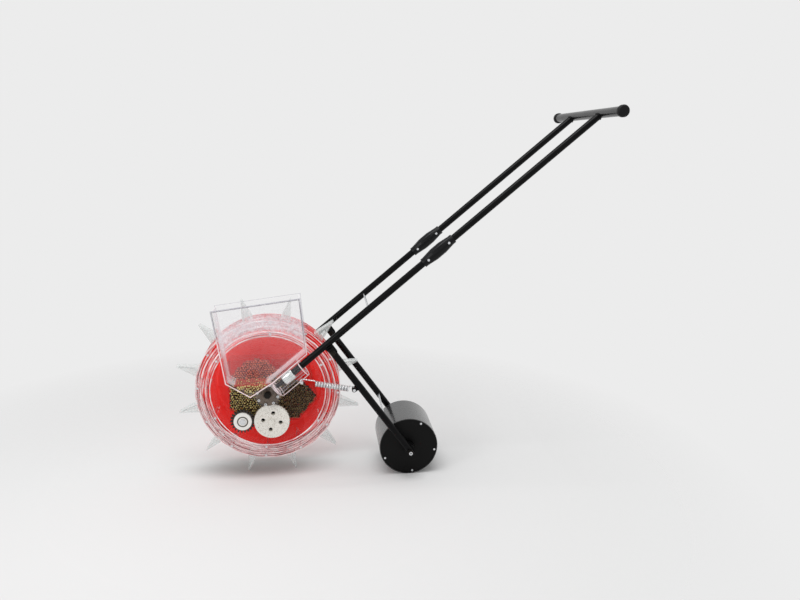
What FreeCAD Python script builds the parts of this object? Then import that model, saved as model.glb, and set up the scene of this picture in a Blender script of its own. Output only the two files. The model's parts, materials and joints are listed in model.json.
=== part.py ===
# Hand-pushed dial seed sower: a clear drum with twelve beaks rolls over the soil, a geared
# dial inside it meters the seeds, and a sprung roller behind presses the row shut.
# Millimetres. +Z is up, the sower is pushed towards -X, and the drum axle lies along Y.
# The origin is on the ground, straight below the axle, midway between the handle tubes.

import FreeCAD, Part
import math
import os

os.makedirs("parts", exist_ok=True)
V = FreeCAD.Vector

# Drum
drum_radius = 205.0
rim_near_y = -33.0
rim_far_y = 51.0
rim_wall = 3.0
opening_radius = 161.0
cover_steps = 3
cover_step_drop = 4.5
cover_wall = 3.0
cover_riser = 2.5
plate_wall = 3.0
plate_dish_radius = 150.0
plate_dish_depth = 5.0
plate_dish_slope = 8.0
boss_root_width = 10.0
boss_root_height = 5.0
boss_near_lip = 4.0
boss_far_reach = 22.0
vane_inner_radius = 166.0
vane_wall = 2.0
vane_lead_angle = 11.0
outlet_margin = 3.0
pillar_flats = 9.0
drum_screw_flats = 6.4
drum_screw_height = 1.5
seat_gap = 0.1

# Beaks
beak_count = 12
beak_angle = 15.0
beak_tip_radius = 267.5
beak_base_half = 15.0
beak_base_width = 34.0
beak_tip_half = 1.4
beak_tip_width = 22.0
beak_wall = 2.4
beak_solid_tip = 5.0
beak_foot_overlap = 5.0
cavity_tip_half = 0.3
flap_gap = 0.35
flap_thickness = 2.6
flap_solid_end = 6.0
flap_end_half = 0.8
hinge_height = 9.0
trunnion_radius = 1.5
trunnion_fit = 0.1

# Gear train
gear_module = 3.0
ring_teeth = 99
pinion_teeth = 22
dial_teeth = 33
pressure_angle = 20.0
gear_backlash = 0.25
gear_width = 8.0
dial_axle_distance = 90.0
dial_axle_angle = -85.5
dial_plate_radius = 50.0
gear_face_thickness = 6.0
pinion_face_radius = 25.5
pinion_groove_outer = 15.5
pinion_groove_inner = 12.5
pinion_groove_depth = 2.0
cell_circle_radius = 25.0
cell_radius = 6.0
cell_count = 4
cell_angle = 80.0
gear_pin_radius = 5.0
gear_pin_head_radius = 8.0
gear_pin_head = 3.0
running_fit = 0.06

# Axle, hub and bearings
axle_radius = 6.0
axle_stud_radius = 5.0
axle_stud_length = 14.0
axle_near_overrun = 2.0
nut_flats = 18.0
nut_height = 10.0
washer_height = 2.0
washer_radius = 12.0
hub_boss_radius = 24.0
hub_flange_radius = 34.0
hub_flange_thickness = 8.0
hub_flange_y = -70.0
hub_neck_radius = 18.0
hub_screw_circle = 29.0
hub_screw_count = 8
hub_screw_angle = -103.0
hub_screw_flats = 7.0
hub_screw_height = 2.0
bearing_radius = 14.0
bearing_width = 8.0
bearing_shoulder = 12.0
side_gap = 0.3
axle_collar_radius = 9.0

# Stationary seed box inside the drum
box_near_y = -31.0
box_far_y = 24.0
box_wall = 2.5
box_corner_radius = 8.0
box_sleeve_radius = 9.5
box_outline = [(-113.0, 90.0), (-113.0, -58.0), (-28.0, -103.0), (84.0, -94.0), (139.0, -34.0), (112.0, 90.0)]
dial_window_radius = 33.0
dial_window_rim = 3.0
seed_gap = 0.3
seed_crest = [
    (-113.0, 26.0), (-90.0, 60.0), (-55.0, 82.0), (-28.0, 88.0), (-4.0, 83.0), (18.0, 64.0),
    (58.0, 24.0), (104.0, 2.0), (139.0, -32.0),
]
open_margin = 20.0

# Hopper
hopper_near_y = -120.0
hopper_far_y = -50.0
hopper_wall = 2.5
hopper_top_left = (-133.0, 254.0)
hopper_top_right = (97.0, 283.0)
hopper_shoulder_x = 111.0
hopper_throat_t = 50.0
hopper_nose = (-42.0, 17.0)
hopper_left_low = (-104.0, 56.0)
hopper_slope_lift = 22.0
hopper_seed_level = 48.0
spout_centre = (-40.0, 52.0)
spout_radius = 20.0
tab_thickness = 3.0
tab_radius = 38.0
socket_radius = 24.0
socket_start = 36.0
socket_end = 135.0
socket_floor = 3.0
hub_window_radius = 13.5
spout_overrun = 9.0

# Handle frame: distances t run up the tube from the foot of the axle
handle_angle = 39.6
handle_lift = 9.2
handle_length = 1195.0
tube_half_spacing = 106.5
tube_radius = 9.5
tube_wall = 1.5
splice_t = 624.0
splice_gap = 1.0
near_tube_start = 74.8
far_tube_start = 8.0
eye_radius = 13.0
eye_length = 25.0
eye_cap_thickness = 3.0
eye_cap_inset = 0.5
bar_half_length = 234.0
bar_radius = 12.5
bar_wall = 1.5
knob_radius = 15.5
knob_length = 16.0
knob_plug = 18.0
stay_t = 377.0
stay_radius = 2.8

# Tube couplers
coupler_length = 106.0
coupler_mid_radius = 17.0
coupler_end_radius = 13.0
coupler_collar = 9.0
coupler_fit = 0.1
coupler_split = 0.5
coupler_screw_offset = 36.0
coupler_screw_flats = 6.4
coupler_seat_flats = 7.6
coupler_seat_y = 12.6
coupler_head_height = 1.6

# Sleeve and stub on the foot of the near tube
sleeve_radius = 16.1
sleeve_length = 34.0
sleeve_start = 71.5
sleeve_floor = 3.0
sleeve_fit = 0.2
sleeve_chamfer = 1.2
stub_radius = 6.0
stub_start = 43.0
stub_plug = 10.0

# Roller arms and their pivots
pivot_t = 223.8
pivot_drop = 28.0
arm_radius = 9.75
arm_wall = 1.8
arm_top_overrun = 14.0
arm_foot_overrun = 13.0
lug_thickness = 5.0
lug_radius = 12.7
lug_heel = 7.5
weld_overlap = 1.0
slot_clearance = 0.3
pivot_bolt_radius = 4.0
pivot_head_flats = 13.0
pivot_head_height = 5.3
pivot_bolt_overrun = 1.5
arm_stay_s = 245.0

# Roller
wheelbase = 399.5
roller_radius = 85.0
roller_half_length = 76.5
roller_wall = 2.0
disc_thickness = 2.5
disc_inset = 1.5
rivet_circle = 77.0
rivet_count = 5
rivet_angle = 62.0
rivet_flats = 6.0
rivet_height = 1.4
roller_axle_radius = 5.0
roller_nut_flats = 16.0
roller_nut_height = 8.0
roller_axle_end = 4.0
bush_radius = 14.0
bush_lip = 2.0

# Press spring between the hopper socket and the near arm
anchor_t = 104.7
anchor_drop = 34.8
arm_pin_s = 123.0
arm_pin_reach = 17.5
spring_pin_radius = 2.5
spring_pin_head = 4.0
spring_pin_overhang = 1.5
ear_root_depth = 4.0
ear_thickness = 3.0
ear_gap = 7.0
ear_radius = 6.5
wire_radius = 1.5
wire_sides = 5
coil_mean_radius = 7.1
coil_turns = 24
coil_start = 38.0
coil_end_margin = 16.0
hook_seat_gap = 0.3
hook_tip = 2.1
leg_rise = 3.9
leg_run = 5.5

# Places that follow from the sizes
axle_height = beak_tip_radius * math.cos(math.radians(beak_angle))
handle_cos = math.cos(math.radians(handle_angle))
handle_sin = math.sin(math.radians(handle_angle))
cover_ring_width = (drum_radius - opening_radius) / cover_steps
cover_front_y = rim_near_y - cover_wall - (cover_steps - 1) * cover_step_drop
gear_near_y = cover_front_y + cover_wall
gear_far_y = gear_near_y + gear_width
gear_front_y = gear_near_y - gear_face_thickness
ring_pitch_radius = gear_module * ring_teeth / 2
pinion_pitch_radius = gear_module * pinion_teeth / 2
dial_pitch_radius = gear_module * dial_teeth / 2
pinion_axle_distance = ring_pitch_radius - pinion_pitch_radius
mesh_distance = pinion_pitch_radius + dial_pitch_radius
beak_mid_y = (rim_near_y + rim_far_y) / 2
plate_rim_y = rim_far_y + plate_wall
plate_web_y = rim_far_y - plate_dish_depth
boss_near_y = plate_web_y - bearing_width - boss_near_lip
boss_far_y = plate_web_y + boss_far_reach
axle_near_y = hub_flange_y - nut_height - axle_near_overrun
axle_far_y = tube_half_spacing + eye_length / 2 + washer_height + nut_height
gear_ring_radius = opening_radius + cover_ring_width - cover_riser - seat_gap


def polar(radius, degrees):
    """A point (x, z) at an angle measured from +X towards +Z."""
    angle = math.radians(degrees)
    return radius * math.cos(angle), radius * math.sin(angle)


def handle_point(t, lift=0.0, y=0.0):
    """A point on the tube line, t along it and lifted square to it."""
    height = handle_lift + lift
    return V(t * handle_cos - height * handle_sin, y, t * handle_sin + height * handle_cos)


handle_axis = V(handle_cos, 0, handle_sin)
handle_normal = V(-handle_sin, 0, handle_cos)


def save(name, shape):
    """Stand the piece on the ground plane and write its file."""
    placed = shape.copy()
    placed.translate(V(0, 0, axle_height))
    placed.exportStep("parts/" + name + ".step")


def group(shapes):
    return Part.makeCompound(shapes)


def cylinder_y(radius, y0, y1, x=0.0, z=0.0):
    return Part.makeCylinder(radius, y1 - y0, V(x, y0, z), V(0, 1, 0))


def ring_y(outer, inner, y0, y1, x=0.0, z=0.0):
    bore = cylinder_y(inner, y0 - 1, y1 + 1, x, z)
    return cylinder_y(outer, y0, y1, x, z).cut(bore)


def rod(start, end, radius):
    return Part.makeCylinder(radius, (end - start).Length, start, end - start)


def tube(start, end, outer, wall):
    return rod(start, end, outer).cut(rod(start, end, outer - wall))


def prism_y(points, y0, y1):
    """A flat outline of (x, z) points drawn out along Y."""
    corners = [V(x, y0, z) for x, z in points]
    face = Part.Face(Part.makePolygon(corners + corners[:1]))
    return face.extrude(V(0, y1 - y0, 0))


def soften_y(shape, radius):
    """Round the edges that run along Y."""
    edges = []
    for edge in shape.Edges:
        run = edge.lastVertex().Point - edge.firstVertex().Point
        if run.Length > 1 and abs(run.y) > 0.999 * run.Length:
            edges.append(edge)
    return shape.makeFillet(radius, edges)


def turned_y(profile):
    """A profile of (radius, y) points turned about the drum axle."""
    corners = [V(radius, y, 0) for radius, y in profile]
    face = Part.Face(Part.makePolygon(corners + corners[:1]))
    return face.revolve(V(0, 0, 0), V(0, 1, 0), 360)


def flat_sided_y(sides, flats, y0, y1, x=0.0, z=0.0):
    """A regular prism along Y, as wide as given across its flats."""
    corner = flats / 2 / math.cos(math.pi / sides)
    outline = [polar(corner, 360 * k / sides) for k in range(sides)]
    return prism_y([(x + px, z + pz) for px, pz in outline], y0, y1)


def hex_y(flats, y0, y1, x=0.0, z=0.0):
    return flat_sided_y(6, flats, y0, y1, x, z)


def hex_nut_y(flats, bore, y0, y1, x=0.0, z=0.0):
    return hex_y(flats, y0, y1, x, z).cut(cylinder_y(bore, y0 - 1, y1 + 1, x, z))


def spun(shape, degrees):
    """Turn a copy about the drum axle, from +X towards +Z."""
    turned = shape.copy()
    turned.rotate(V(0, 0, 0), V(0, 1, 0), -degrees)
    return turned


def involute_half_angle(radius, teeth, growth):
    """Half the angle that a tooth fills at a radius, with each flank moved out by growth."""
    alpha = math.radians(pressure_angle)
    pitch = gear_module * teeth / 2
    base = pitch * math.cos(alpha)
    slope = math.acos(min(1.0, base / max(radius, base)))
    involute = math.tan(slope) - slope
    at_pitch = math.pi / (2 * teeth) + growth / pitch
    return at_pitch + math.tan(alpha) - alpha - involute


def gear_face(teeth, radii, growth, phase, x, z, y):
    """A toothed disc's outline. Each flank runs through the involute's points at the radii."""
    pitch_angle = 2 * math.pi / teeth
    corners = []
    for tooth in range(teeth):
        centre = math.radians(phase) + tooth * pitch_angle
        rising = [(r, centre - involute_half_angle(r, teeth, growth)) for r in radii]
        falling = [(r, centre + involute_half_angle(r, teeth, growth)) for r in reversed(radii)]
        for radius, angle in rising + falling:
            corners.append(V(x + radius * math.cos(angle), y, z + radius * math.sin(angle)))
    return Part.Face(Part.makePolygon(corners + corners[:1]))


def gear(teeth, phase, x, z, y0, y1):
    pitch = gear_module * teeth / 2
    radii = (pitch - 1.25 * gear_module, pitch, pitch + gear_module)
    face = gear_face(teeth, radii, -gear_backlash / 2, phase, x, z, y0)
    return face.extrude(V(0, y1 - y0, 0))


# The dial and pinion centres close a triangle with the axle
dial_x, dial_z = polar(dial_axle_distance, dial_axle_angle)
spread_cos = pinion_axle_distance ** 2 + dial_axle_distance ** 2 - mesh_distance ** 2
spread_cos = spread_cos / (2 * pinion_axle_distance * dial_axle_distance)
pinion_axle_angle = dial_axle_angle - math.degrees(math.acos(spread_cos))
pinion_x, pinion_z = polar(pinion_axle_distance, pinion_axle_angle)
mesh_angle = math.degrees(math.atan2(dial_z - pinion_z, dial_x - pinion_x))
mesh_fraction = (mesh_angle - pinion_axle_angle) / (360 / pinion_teeth)
dial_phase = mesh_angle + 180 + (mesh_fraction - 0.5) * 360 / dial_teeth


def cover_tread(step):
    """The mean radius and front face of one tread of the stepped cover."""
    radius = opening_radius + (step + 0.5) * cover_ring_width
    return radius, cover_front_y + step * cover_step_drop


gear_screw_radius, gear_screw_y = cover_tread(0)
cover_screw_radius, cover_screw_y = cover_tread(cover_steps - 1)


def drum_angles():
    return [beak_angle + k * 360 / beak_count for k in range(beak_count)]


def drum_rim():
    """The clear band, with its seed outlets, divider vanes and screw pillars."""
    outlet_width = beak_base_width - 2 * (beak_wall + outlet_margin)
    outlet_half = beak_base_half - beak_wall - outlet_margin
    band = ring_y(drum_radius, drum_radius - rim_wall, rim_near_y, rim_far_y)
    vane_length = drum_radius - rim_wall / 2 - vane_inner_radius
    pieces = []
    outlets = []
    for angle in drum_angles():
        vane = Part.makeBox(vane_length, rim_far_y - rim_near_y, vane_wall)
        vane.translate(V(vane_inner_radius, rim_near_y, -vane_wall / 2))
        pillar = flat_sided_y(8, pillar_flats, rim_near_y, rim_far_y, cover_screw_radius, 0)
        pieces += [spun(vane, angle + vane_lead_angle), spun(pillar, angle + vane_lead_angle)]
        outlet = Part.makeBox(rim_wall * 4, outlet_width, 2 * outlet_half)
        outlet.translate(V(drum_radius - rim_wall * 2, beak_mid_y - outlet_width / 2, -outlet_half))
        outlets.append(spun(outlet, angle))
    return band.multiFuse(pieces).cut(outlets).removeSplitter()


def front_cover():
    """The clear front ring, stepped down from the rim to the opening."""
    outside = []
    inside = []
    for step in range(cover_steps):
        inner = opening_radius + step * cover_ring_width
        outer = inner + cover_ring_width
        front = cover_front_y + step * cover_step_drop
        outside += [(inner, front), (outer, front)]
        # The risers inside lie nearer to the axle, so that each riser has its own wall
        inner_edge = inner - cover_riser if step > 0 else inner
        outer_edge = outer - cover_riser if step < cover_steps - 1 else outer
        inside += [(inner_edge, front + cover_wall), (outer_edge, front + cover_wall)]
    return turned_y(outside + inside[::-1])


def ring_gear():
    """The inward-toothed ring: its tooth spaces have a gear's outline, grown for backlash."""
    blank = cylinder_y(gear_ring_radius, gear_near_y, gear_far_y)
    radii = (ring_pitch_radius - gear_module, ring_pitch_radius + 1.25 * gear_module)
    face = gear_face(ring_teeth, radii, gear_backlash / 2, pinion_axle_angle, 0, 0, gear_near_y - 1)
    return blank.cut(face.extrude(V(0, gear_width + 2, 0)))


def drum_plate():
    """The red back plate: a dished disc with a hub boss for two bearings."""
    outer_step = plate_dish_radius + plate_dish_slope
    boss_root = hub_boss_radius + boss_root_width
    profile = [
        (drum_radius, rim_far_y),
        (drum_radius, plate_rim_y),
        (outer_step, plate_rim_y),
        (plate_dish_radius, plate_web_y + plate_wall),
        (boss_root, plate_web_y + plate_wall),
        (hub_boss_radius, plate_web_y + plate_wall + boss_root_height),
        (hub_boss_radius, boss_far_y),
        (bearing_radius, boss_far_y),
        (bearing_radius, boss_far_y - bearing_width),
        (bearing_shoulder, boss_far_y - bearing_width),
        (bearing_shoulder, boss_near_y + bearing_width),
        (bearing_radius, boss_near_y + bearing_width),
        (bearing_radius, boss_near_y),
        (hub_boss_radius, boss_near_y),
        (hub_boss_radius, plate_web_y),
        (plate_dish_radius, plate_web_y),
        (outer_step, rim_far_y),
    ]
    return turned_y(profile)


def hub_bearings():
    inner = axle_radius + running_fit
    near = ring_y(bearing_radius, inner, boss_near_y, boss_near_y + bearing_width)
    far = ring_y(bearing_radius, inner, boss_far_y - bearing_width, boss_far_y)
    return group([near, far])


def drum_screws():
    """Screw heads on both faces of the pillars, and six on the gear ring."""
    heads = []
    for index, angle in enumerate(drum_angles()):
        x, z = polar(cover_screw_radius, angle + vane_lead_angle)
        heads.append(hex_y(drum_screw_flats, cover_screw_y - drum_screw_height, cover_screw_y, x, z))
        heads.append(hex_y(drum_screw_flats, plate_rim_y, plate_rim_y + drum_screw_height, x, z))
        if index % 2 == 0:
            x, z = polar(gear_screw_radius, angle + vane_lead_angle)
            heads.append(hex_y(drum_screw_flats, gear_screw_y - drum_screw_height, gear_screw_y, x, z))
    return group(heads)


# Each beak is drawn pointing along +X from the drum rim, then spun to its place. Its hinge
# is on the side of the larger angle, so the flap swings towards the next beak.
beak_base_x = drum_radius + seat_gap
beak_length = beak_tip_radius - beak_base_x
hinge_x = beak_base_x + hinge_height


def wedge(base_x, base_half, base_width, tip_x, tip_half, tip_width):
    """A four-sided tapered solid along +X, as wide as given across Z and along Y."""
    base_y = base_width / 2
    tip_y = tip_width / 2
    sides = (-base_half, base_x, -base_y, -tip_y, -tip_half, base_half, tip_x, base_y, tip_y, tip_half)
    solid = Part.makeWedge(*sides)
    # The wedge is made along Y with its thickness on X, so it is turned to lie along X
    solid.rotate(V(0, 0, 0), V(0, 0, 1), -90)
    solid.rotate(V(0, 0, 0), V(1, 0, 0), 90)
    solid.translate(V(0, beak_mid_y, 0))
    return solid


def beak_half_at(x):
    """Half the beak's thickness at a distance from the axle."""
    share = (x - beak_base_x) / beak_length
    return beak_base_half + share * (beak_tip_half - beak_base_half)


def beak_width_at(x):
    """Half the beak's width at a distance from the axle."""
    share = (x - beak_base_x) / beak_length
    return (beak_base_width + share * (beak_tip_width - beak_base_width)) / 2


hinge_z = beak_half_at(hinge_x) - flap_thickness
flap_end_x = beak_tip_radius - beak_solid_tip - flap_gap


def beak_mouth(growth):
    """The flap's opening between the side walls, drawn in or out by growth."""
    start = hinge_x - flap_thickness
    end = beak_tip_radius - beak_solid_tip
    return wedge(
        start, beak_base_half * 2, 2 * (beak_width_at(start) - beak_wall + growth),
        end, beak_base_half, 2 * (beak_width_at(end) - beak_wall + growth),
    )


def above(z0):
    """Everything near the beak on its flap side, from z0 up."""
    slab = Part.makeBox(beak_length + 20, beak_base_width * 2, beak_base_half * 3)
    slab.translate(V(beak_base_x - 10, beak_mid_y - beak_base_width, z0))
    return slab


def beak_body():
    """The fixed half: a hollow wedge, open on its flap side and at its foot."""
    start = beak_base_x - beak_foot_overlap
    shell = wedge(
        start, beak_half_at(start), 2 * beak_width_at(start),
        beak_tip_radius, beak_tip_half, beak_tip_width,
    )
    end = beak_tip_radius - beak_solid_tip
    cavity = wedge(
        start - 1, beak_half_at(start) - beak_wall, 2 * (beak_width_at(start) - beak_wall),
        end, cavity_tip_half, 2 * (beak_width_at(end) - beak_wall),
    )
    low = beak_mid_y - beak_base_width
    high = beak_mid_y + beak_base_width
    # Eight-sided trunnion holes keep the twelve beaks light
    holes = flat_sided_y(8, 2 * (trunnion_radius + trunnion_fit), low, high, hinge_x, hinge_z)
    seat = cylinder_y(beak_base_x, low, high)
    return shell.cut([cavity, beak_mouth(0).common(above(flap_gap)), holes, seat])


def beak_flap():
    """The moving half: a tapered plate on two trunnions that turn in the side walls."""
    outer = wedge(
        hinge_x, beak_half_at(hinge_x), beak_base_width,
        flap_end_x, beak_half_at(flap_end_x), beak_tip_width,
    )
    core = wedge(
        hinge_x - 1, beak_half_at(hinge_x - 1) - flap_thickness, beak_base_width * 2,
        flap_end_x - flap_solid_end, flap_end_half, beak_base_width * 2,
    )
    plate = outer.common(beak_mouth(-flap_gap)).common(above(2 * flap_gap)).cut(core)
    reach = beak_width_at(hinge_x) - flap_gap
    pin = cylinder_y(trunnion_radius, beak_mid_y - reach, beak_mid_y + reach, hinge_x, hinge_z)
    return plate.fuse(pin).removeSplitter()


def toothed_wheel(teeth, phase, x, z, face_radius):
    """A gear with the plain disc that is moulded on its near side."""
    face = cylinder_y(face_radius, gear_front_y, gear_near_y, x, z)
    bore = cylinder_y(gear_pin_radius + running_fit, gear_front_y - 1, gear_far_y + 1, x, z)
    return gear(teeth, phase, x, z, gear_near_y, gear_far_y).fuse(face).cut(bore)


def drive_pinion():
    """The wheel between the ring and the dial, with a groove in its face round the pin."""
    groove = ring_y(
        pinion_groove_outer, pinion_groove_inner, gear_front_y - 1, gear_front_y + pinion_groove_depth,
        pinion_x, pinion_z,
    )
    wheel = toothed_wheel(pinion_teeth, pinion_axle_angle, pinion_x, pinion_z, pinion_face_radius)
    return wheel.cut(groove)


def seed_dial():
    """The metering dial: its cells run right through, square about the pin."""
    cells = []
    for k in range(cell_count):
        x, z = polar(cell_circle_radius, cell_angle + k * 360 / cell_count)
        cells.append(cylinder_y(cell_radius, gear_front_y - 1, gear_far_y + 1, dial_x + x, dial_z + z))
    return toothed_wheel(dial_teeth, dial_phase, dial_x, dial_z, dial_plate_radius).cut(cells)


def gear_pin(x, z):
    """A shoulder screw from the seed box's front wall, with a head over the wheel."""
    head_y = gear_front_y - side_gap
    shank = cylinder_y(gear_pin_radius, head_y, box_near_y, x, z)
    return hex_y(gear_pin_head_radius * 2, head_y - gear_pin_head, head_y, x, z).fuse(shank)


def drum_axle():
    """The fixed axle, with a thinner stud beyond its far nut."""
    stud = cylinder_y(axle_stud_radius, axle_far_y, axle_far_y + axle_stud_length)
    return cylinder_y(axle_radius, axle_near_y, axle_far_y).fuse(stud)


def axle_nuts():
    bore = axle_radius
    far_seat = tube_half_spacing + eye_length / 2
    washer = ring_y(washer_radius, bore, far_seat, far_seat + washer_height)
    far_nut = hex_nut_y(nut_flats, bore, far_seat + washer_height, far_seat + washer_height + nut_height)
    near_nut = hex_nut_y(nut_flats, bore, hub_flange_y - nut_height, hub_flange_y)
    return group([washer, far_nut, near_nut])


def axle_collars():
    """Spacer tubes that keep the hub between the seed box and the handle's eye."""
    near = ring_y(axle_collar_radius, axle_radius, box_far_y, boss_near_y - side_gap)
    far = ring_y(axle_collar_radius, axle_radius, boss_far_y + side_gap, tube_half_spacing - eye_length / 2)
    return group([near, far])


def hub_flange():
    flange = cylinder_y(hub_flange_radius, hub_flange_y, hub_flange_y + hub_flange_thickness)
    neck = cylinder_y(hub_neck_radius, hub_flange_y, box_near_y)
    return flange.fuse(neck).cut(cylinder_y(axle_radius, hub_flange_y - 1, box_near_y + 1))


def hub_screws():
    heads = []
    for k in range(hub_screw_count):
        x, z = polar(hub_screw_circle, hub_screw_angle + k * 360 / hub_screw_count)
        seat = hub_flange_y - tab_thickness
        heads.append(hex_y(hub_screw_flats, seat - hub_screw_height, seat, x, z))
    return group(heads)


def inset(points, distances):
    """A convex outline with each side moved in by its own distance."""
    turn = 0.0
    count = len(points)
    for k in range(count):
        (ax, az), (bx, bz) = points[k], points[(k + 1) % count]
        turn += ax * bz - bx * az
    inward = 1 if turn > 0 else -1
    sides = []
    for k in range(count):
        (ax, az), (bx, bz) = points[k], points[(k + 1) % count]
        length = math.hypot(bx - ax, bz - az)
        nx, nz = -inward * (bz - az) / length, inward * (bx - ax) / length
        sides.append((nx, nz, nx * ax + nz * az + distances[k]))
    moved = []
    for k in range(count):
        (a, b, p), (c, d, q) = sides[k - 1], sides[k]
        det = a * d - b * c
        moved.append(((p * d - q * b) / det, (a * q - c * p) / det))
    return moved


def seed_box():
    """The fixed clear box in the drum: open on top, with a sleeve around the axle."""
    open_top = len(box_outline) - 1
    distances = [box_wall] * len(box_outline)
    distances[open_top] = -open_margin
    outer = soften_y(prism_y(box_outline, box_near_y, box_far_y), box_corner_radius)
    inner = prism_y(inset(box_outline, distances), box_near_y + box_wall, box_far_y - box_wall)
    inner = soften_y(inner, box_corner_radius - box_wall)
    sleeve = cylinder_y(box_sleeve_radius, box_near_y, box_far_y)
    rim = ring_y(
        dial_window_radius + dial_window_rim, dial_window_radius, gear_far_y + side_gap,
        box_near_y + 1, dial_x, dial_z,
    )
    box = outer.cut(inner).multiFuse([sleeve, rim])
    windows = [cylinder_y(axle_radius, box_near_y - 1, box_far_y + 1)]
    spout_x, spout_z = spout_centre
    before, behind = box_near_y - 1, box_near_y + box_wall + 1
    windows.append(cylinder_y(spout_radius + seat_gap, before, behind, spout_x, spout_z))
    for k in range(cell_count):
        x, z = polar(cell_circle_radius, cell_angle + k * 360 / cell_count)
        windows.append(cylinder_y(cell_radius, before, behind, dial_x + x, dial_z + z))
    return box.cut(windows)


def seed_charge():
    """The seed heaped in the box and lying in the bottom of the hopper."""
    open_top = len(box_outline) - 1
    distances = [box_wall + seed_gap] * len(box_outline)
    distances[open_top] = -open_margin
    room = prism_y(
        inset(box_outline, distances), box_near_y + box_wall + seed_gap, box_far_y - box_wall - seed_gap,
    )
    room = soften_y(room, box_corner_radius)
    bottom = min(z for x, z in box_outline)
    feet = [(seed_crest[-1][0], bottom), (seed_crest[0][0], bottom)]
    heap = prism_y(seed_crest + feet, box_near_y, box_far_y)
    boxed = room.common(heap).cut(cylinder_y(box_sleeve_radius + seed_gap, box_near_y, box_far_y))
    outline = hopper_outline()
    below = prism_y(
        inset(outline, [hopper_wall + seed_gap] * len(outline)),
        hopper_near_y + hopper_wall + seed_gap, hopper_far_y - hopper_wall - seed_gap,
    )
    left, right = hopper_top_left[0], hopper_shoulder_x
    level = [(left, 0), (right, 0), (right, hopper_seed_level), (left, hopper_seed_level)]
    return group([boxed, below.common(prism_y(level, hopper_near_y, hopper_far_y))])


def hopper_outline():
    """The hopper's side view: it leans a little, and its slope runs along the tube."""
    throat = handle_point(hopper_throat_t, hopper_slope_lift)
    reach = (hopper_shoulder_x - throat.x) / handle_cos
    shoulder = handle_point(hopper_throat_t + reach, hopper_slope_lift)
    return [
        hopper_top_left, hopper_top_right, (shoulder.x, shoulder.z),
        (throat.x, throat.z), hopper_nose, hopper_left_low,
    ]


def near_point(t, lift=0.0):
    return handle_point(t, lift, -tube_half_spacing)


def spring_ear(centre, root, y0):
    """A rounded ear around a spring pin, drawn out to its root."""
    eye = cylinder_y(ear_radius, y0, y0 + ear_thickness, centre.x, centre.z)
    along = root - centre
    across = V(-along.z, 0, along.x).normalize() * ear_radius
    corners = [centre - across, root - across, root + across, centre + across]
    web = prism_y([(p.x, p.z) for p in corners], y0, y0 + ear_thickness)
    return eye.fuse(web).removeSplitter()


def ear_pair(centre, root):
    low = -tube_half_spacing - ear_gap / 2 - ear_thickness
    high = -tube_half_spacing + ear_gap / 2
    return [spring_ear(centre, root, low), spring_ear(centre, root, high)]


anchor_point = near_point(anchor_t, -anchor_drop)


def hopper():
    """The open clear hopper with its tube socket, hub tab, seed spout and spring ears."""
    outline = hopper_outline()
    distances = [-open_margin] + [hopper_wall] * (len(outline) - 1)
    cavity = prism_y(inset(outline, distances), hopper_near_y + hopper_wall, hopper_far_y - hopper_wall)
    socket = rod(near_point(socket_start), near_point(socket_end), socket_radius)
    start = near_point(socket_start)
    nose = [e for e in socket.Edges if e.Closed and (e.CenterOfMass - start).Length < 1]
    socket = socket.makeChamfer(socket_radius / 4, nose)
    tab_y = hub_flange_y - tab_thickness
    throat = outline[3]
    web = [(0.0, 0.0), hopper_nose, throat]
    tab = cylinder_y(tab_radius, tab_y, hub_flange_y).fuse(prism_y(web, tab_y, hub_flange_y))
    spout_x, spout_z = spout_centre
    spout = cylinder_y(spout_radius, hopper_far_y - hopper_wall, box_near_y + box_wall, spout_x, spout_z)
    ears = ear_pair(anchor_point, near_point(anchor_t, ear_root_depth - socket_radius))
    body = prism_y(outline, hopper_near_y, hopper_far_y).multiFuse([socket, tab, spout] + ears)
    bore = rod(
        near_point(socket_start + socket_floor), near_point(socket_end + 1), sleeve_radius + sleeve_fit,
    )
    spout_bore = spout_radius - hopper_wall
    spout_back = hopper_far_y - 2 * hopper_wall
    cuts = [
        cavity,
        bore,
        cylinder_y(spout_bore, spout_back, box_near_y + spout_overrun, spout_x, spout_z),
        cylinder_y(hub_window_radius, tab_y - 1, hub_flange_y + 1),
        cylinder_y(spring_pin_radius, -2 * tube_half_spacing, hopper_far_y, anchor_point.x, anchor_point.z),
    ]
    return body.cut(cuts)


def tube_sleeve():
    body = rod(near_point(sleeve_start), near_point(sleeve_start + sleeve_length), sleeve_radius)
    body = body.makeChamfer(sleeve_chamfer, [e for e in body.Edges if e.Closed])
    bore = rod(
        near_point(sleeve_start + sleeve_floor), near_point(sleeve_start + sleeve_length + 1),
        tube_radius + coupler_fit,
    )
    foot = near_point(sleeve_start - 1)
    hole = rod(foot, near_point(sleeve_start + sleeve_floor + 1), stub_radius + seat_gap)
    return body.cut([bore, hole])


def tube_stub():
    """The black plug that closes the near tube's foot and shows below the sleeve."""
    pin = rod(near_point(stub_start), near_point(near_tube_start), stub_radius)
    foot = near_point(stub_start)
    tip = [e for e in pin.Edges if e.Closed and (e.CenterOfMass - foot).Length < 1]
    pin = pin.makeChamfer(stub_radius / 3, tip)
    head = rod(near_point(near_tube_start), near_point(near_tube_start + stub_plug), tube_radius - tube_wall)
    return pin.fuse(head)


arm_pivot = handle_point(pivot_t, -pivot_drop)
roller_centre = V(wheelbase, 0, roller_radius - axle_height)
arm_axis = (roller_centre - arm_pivot).normalize()
arm_side = V(-arm_axis.z, 0, arm_axis.x)
arm_length = (roller_centre - arm_pivot).Length


def arm_point(s, side=0.0, y=0.0):
    """A point on the arm, s down it from the pivot and off to its rear side."""
    return arm_pivot + arm_axis * s + arm_side * side + V(0, y, 0)


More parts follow.
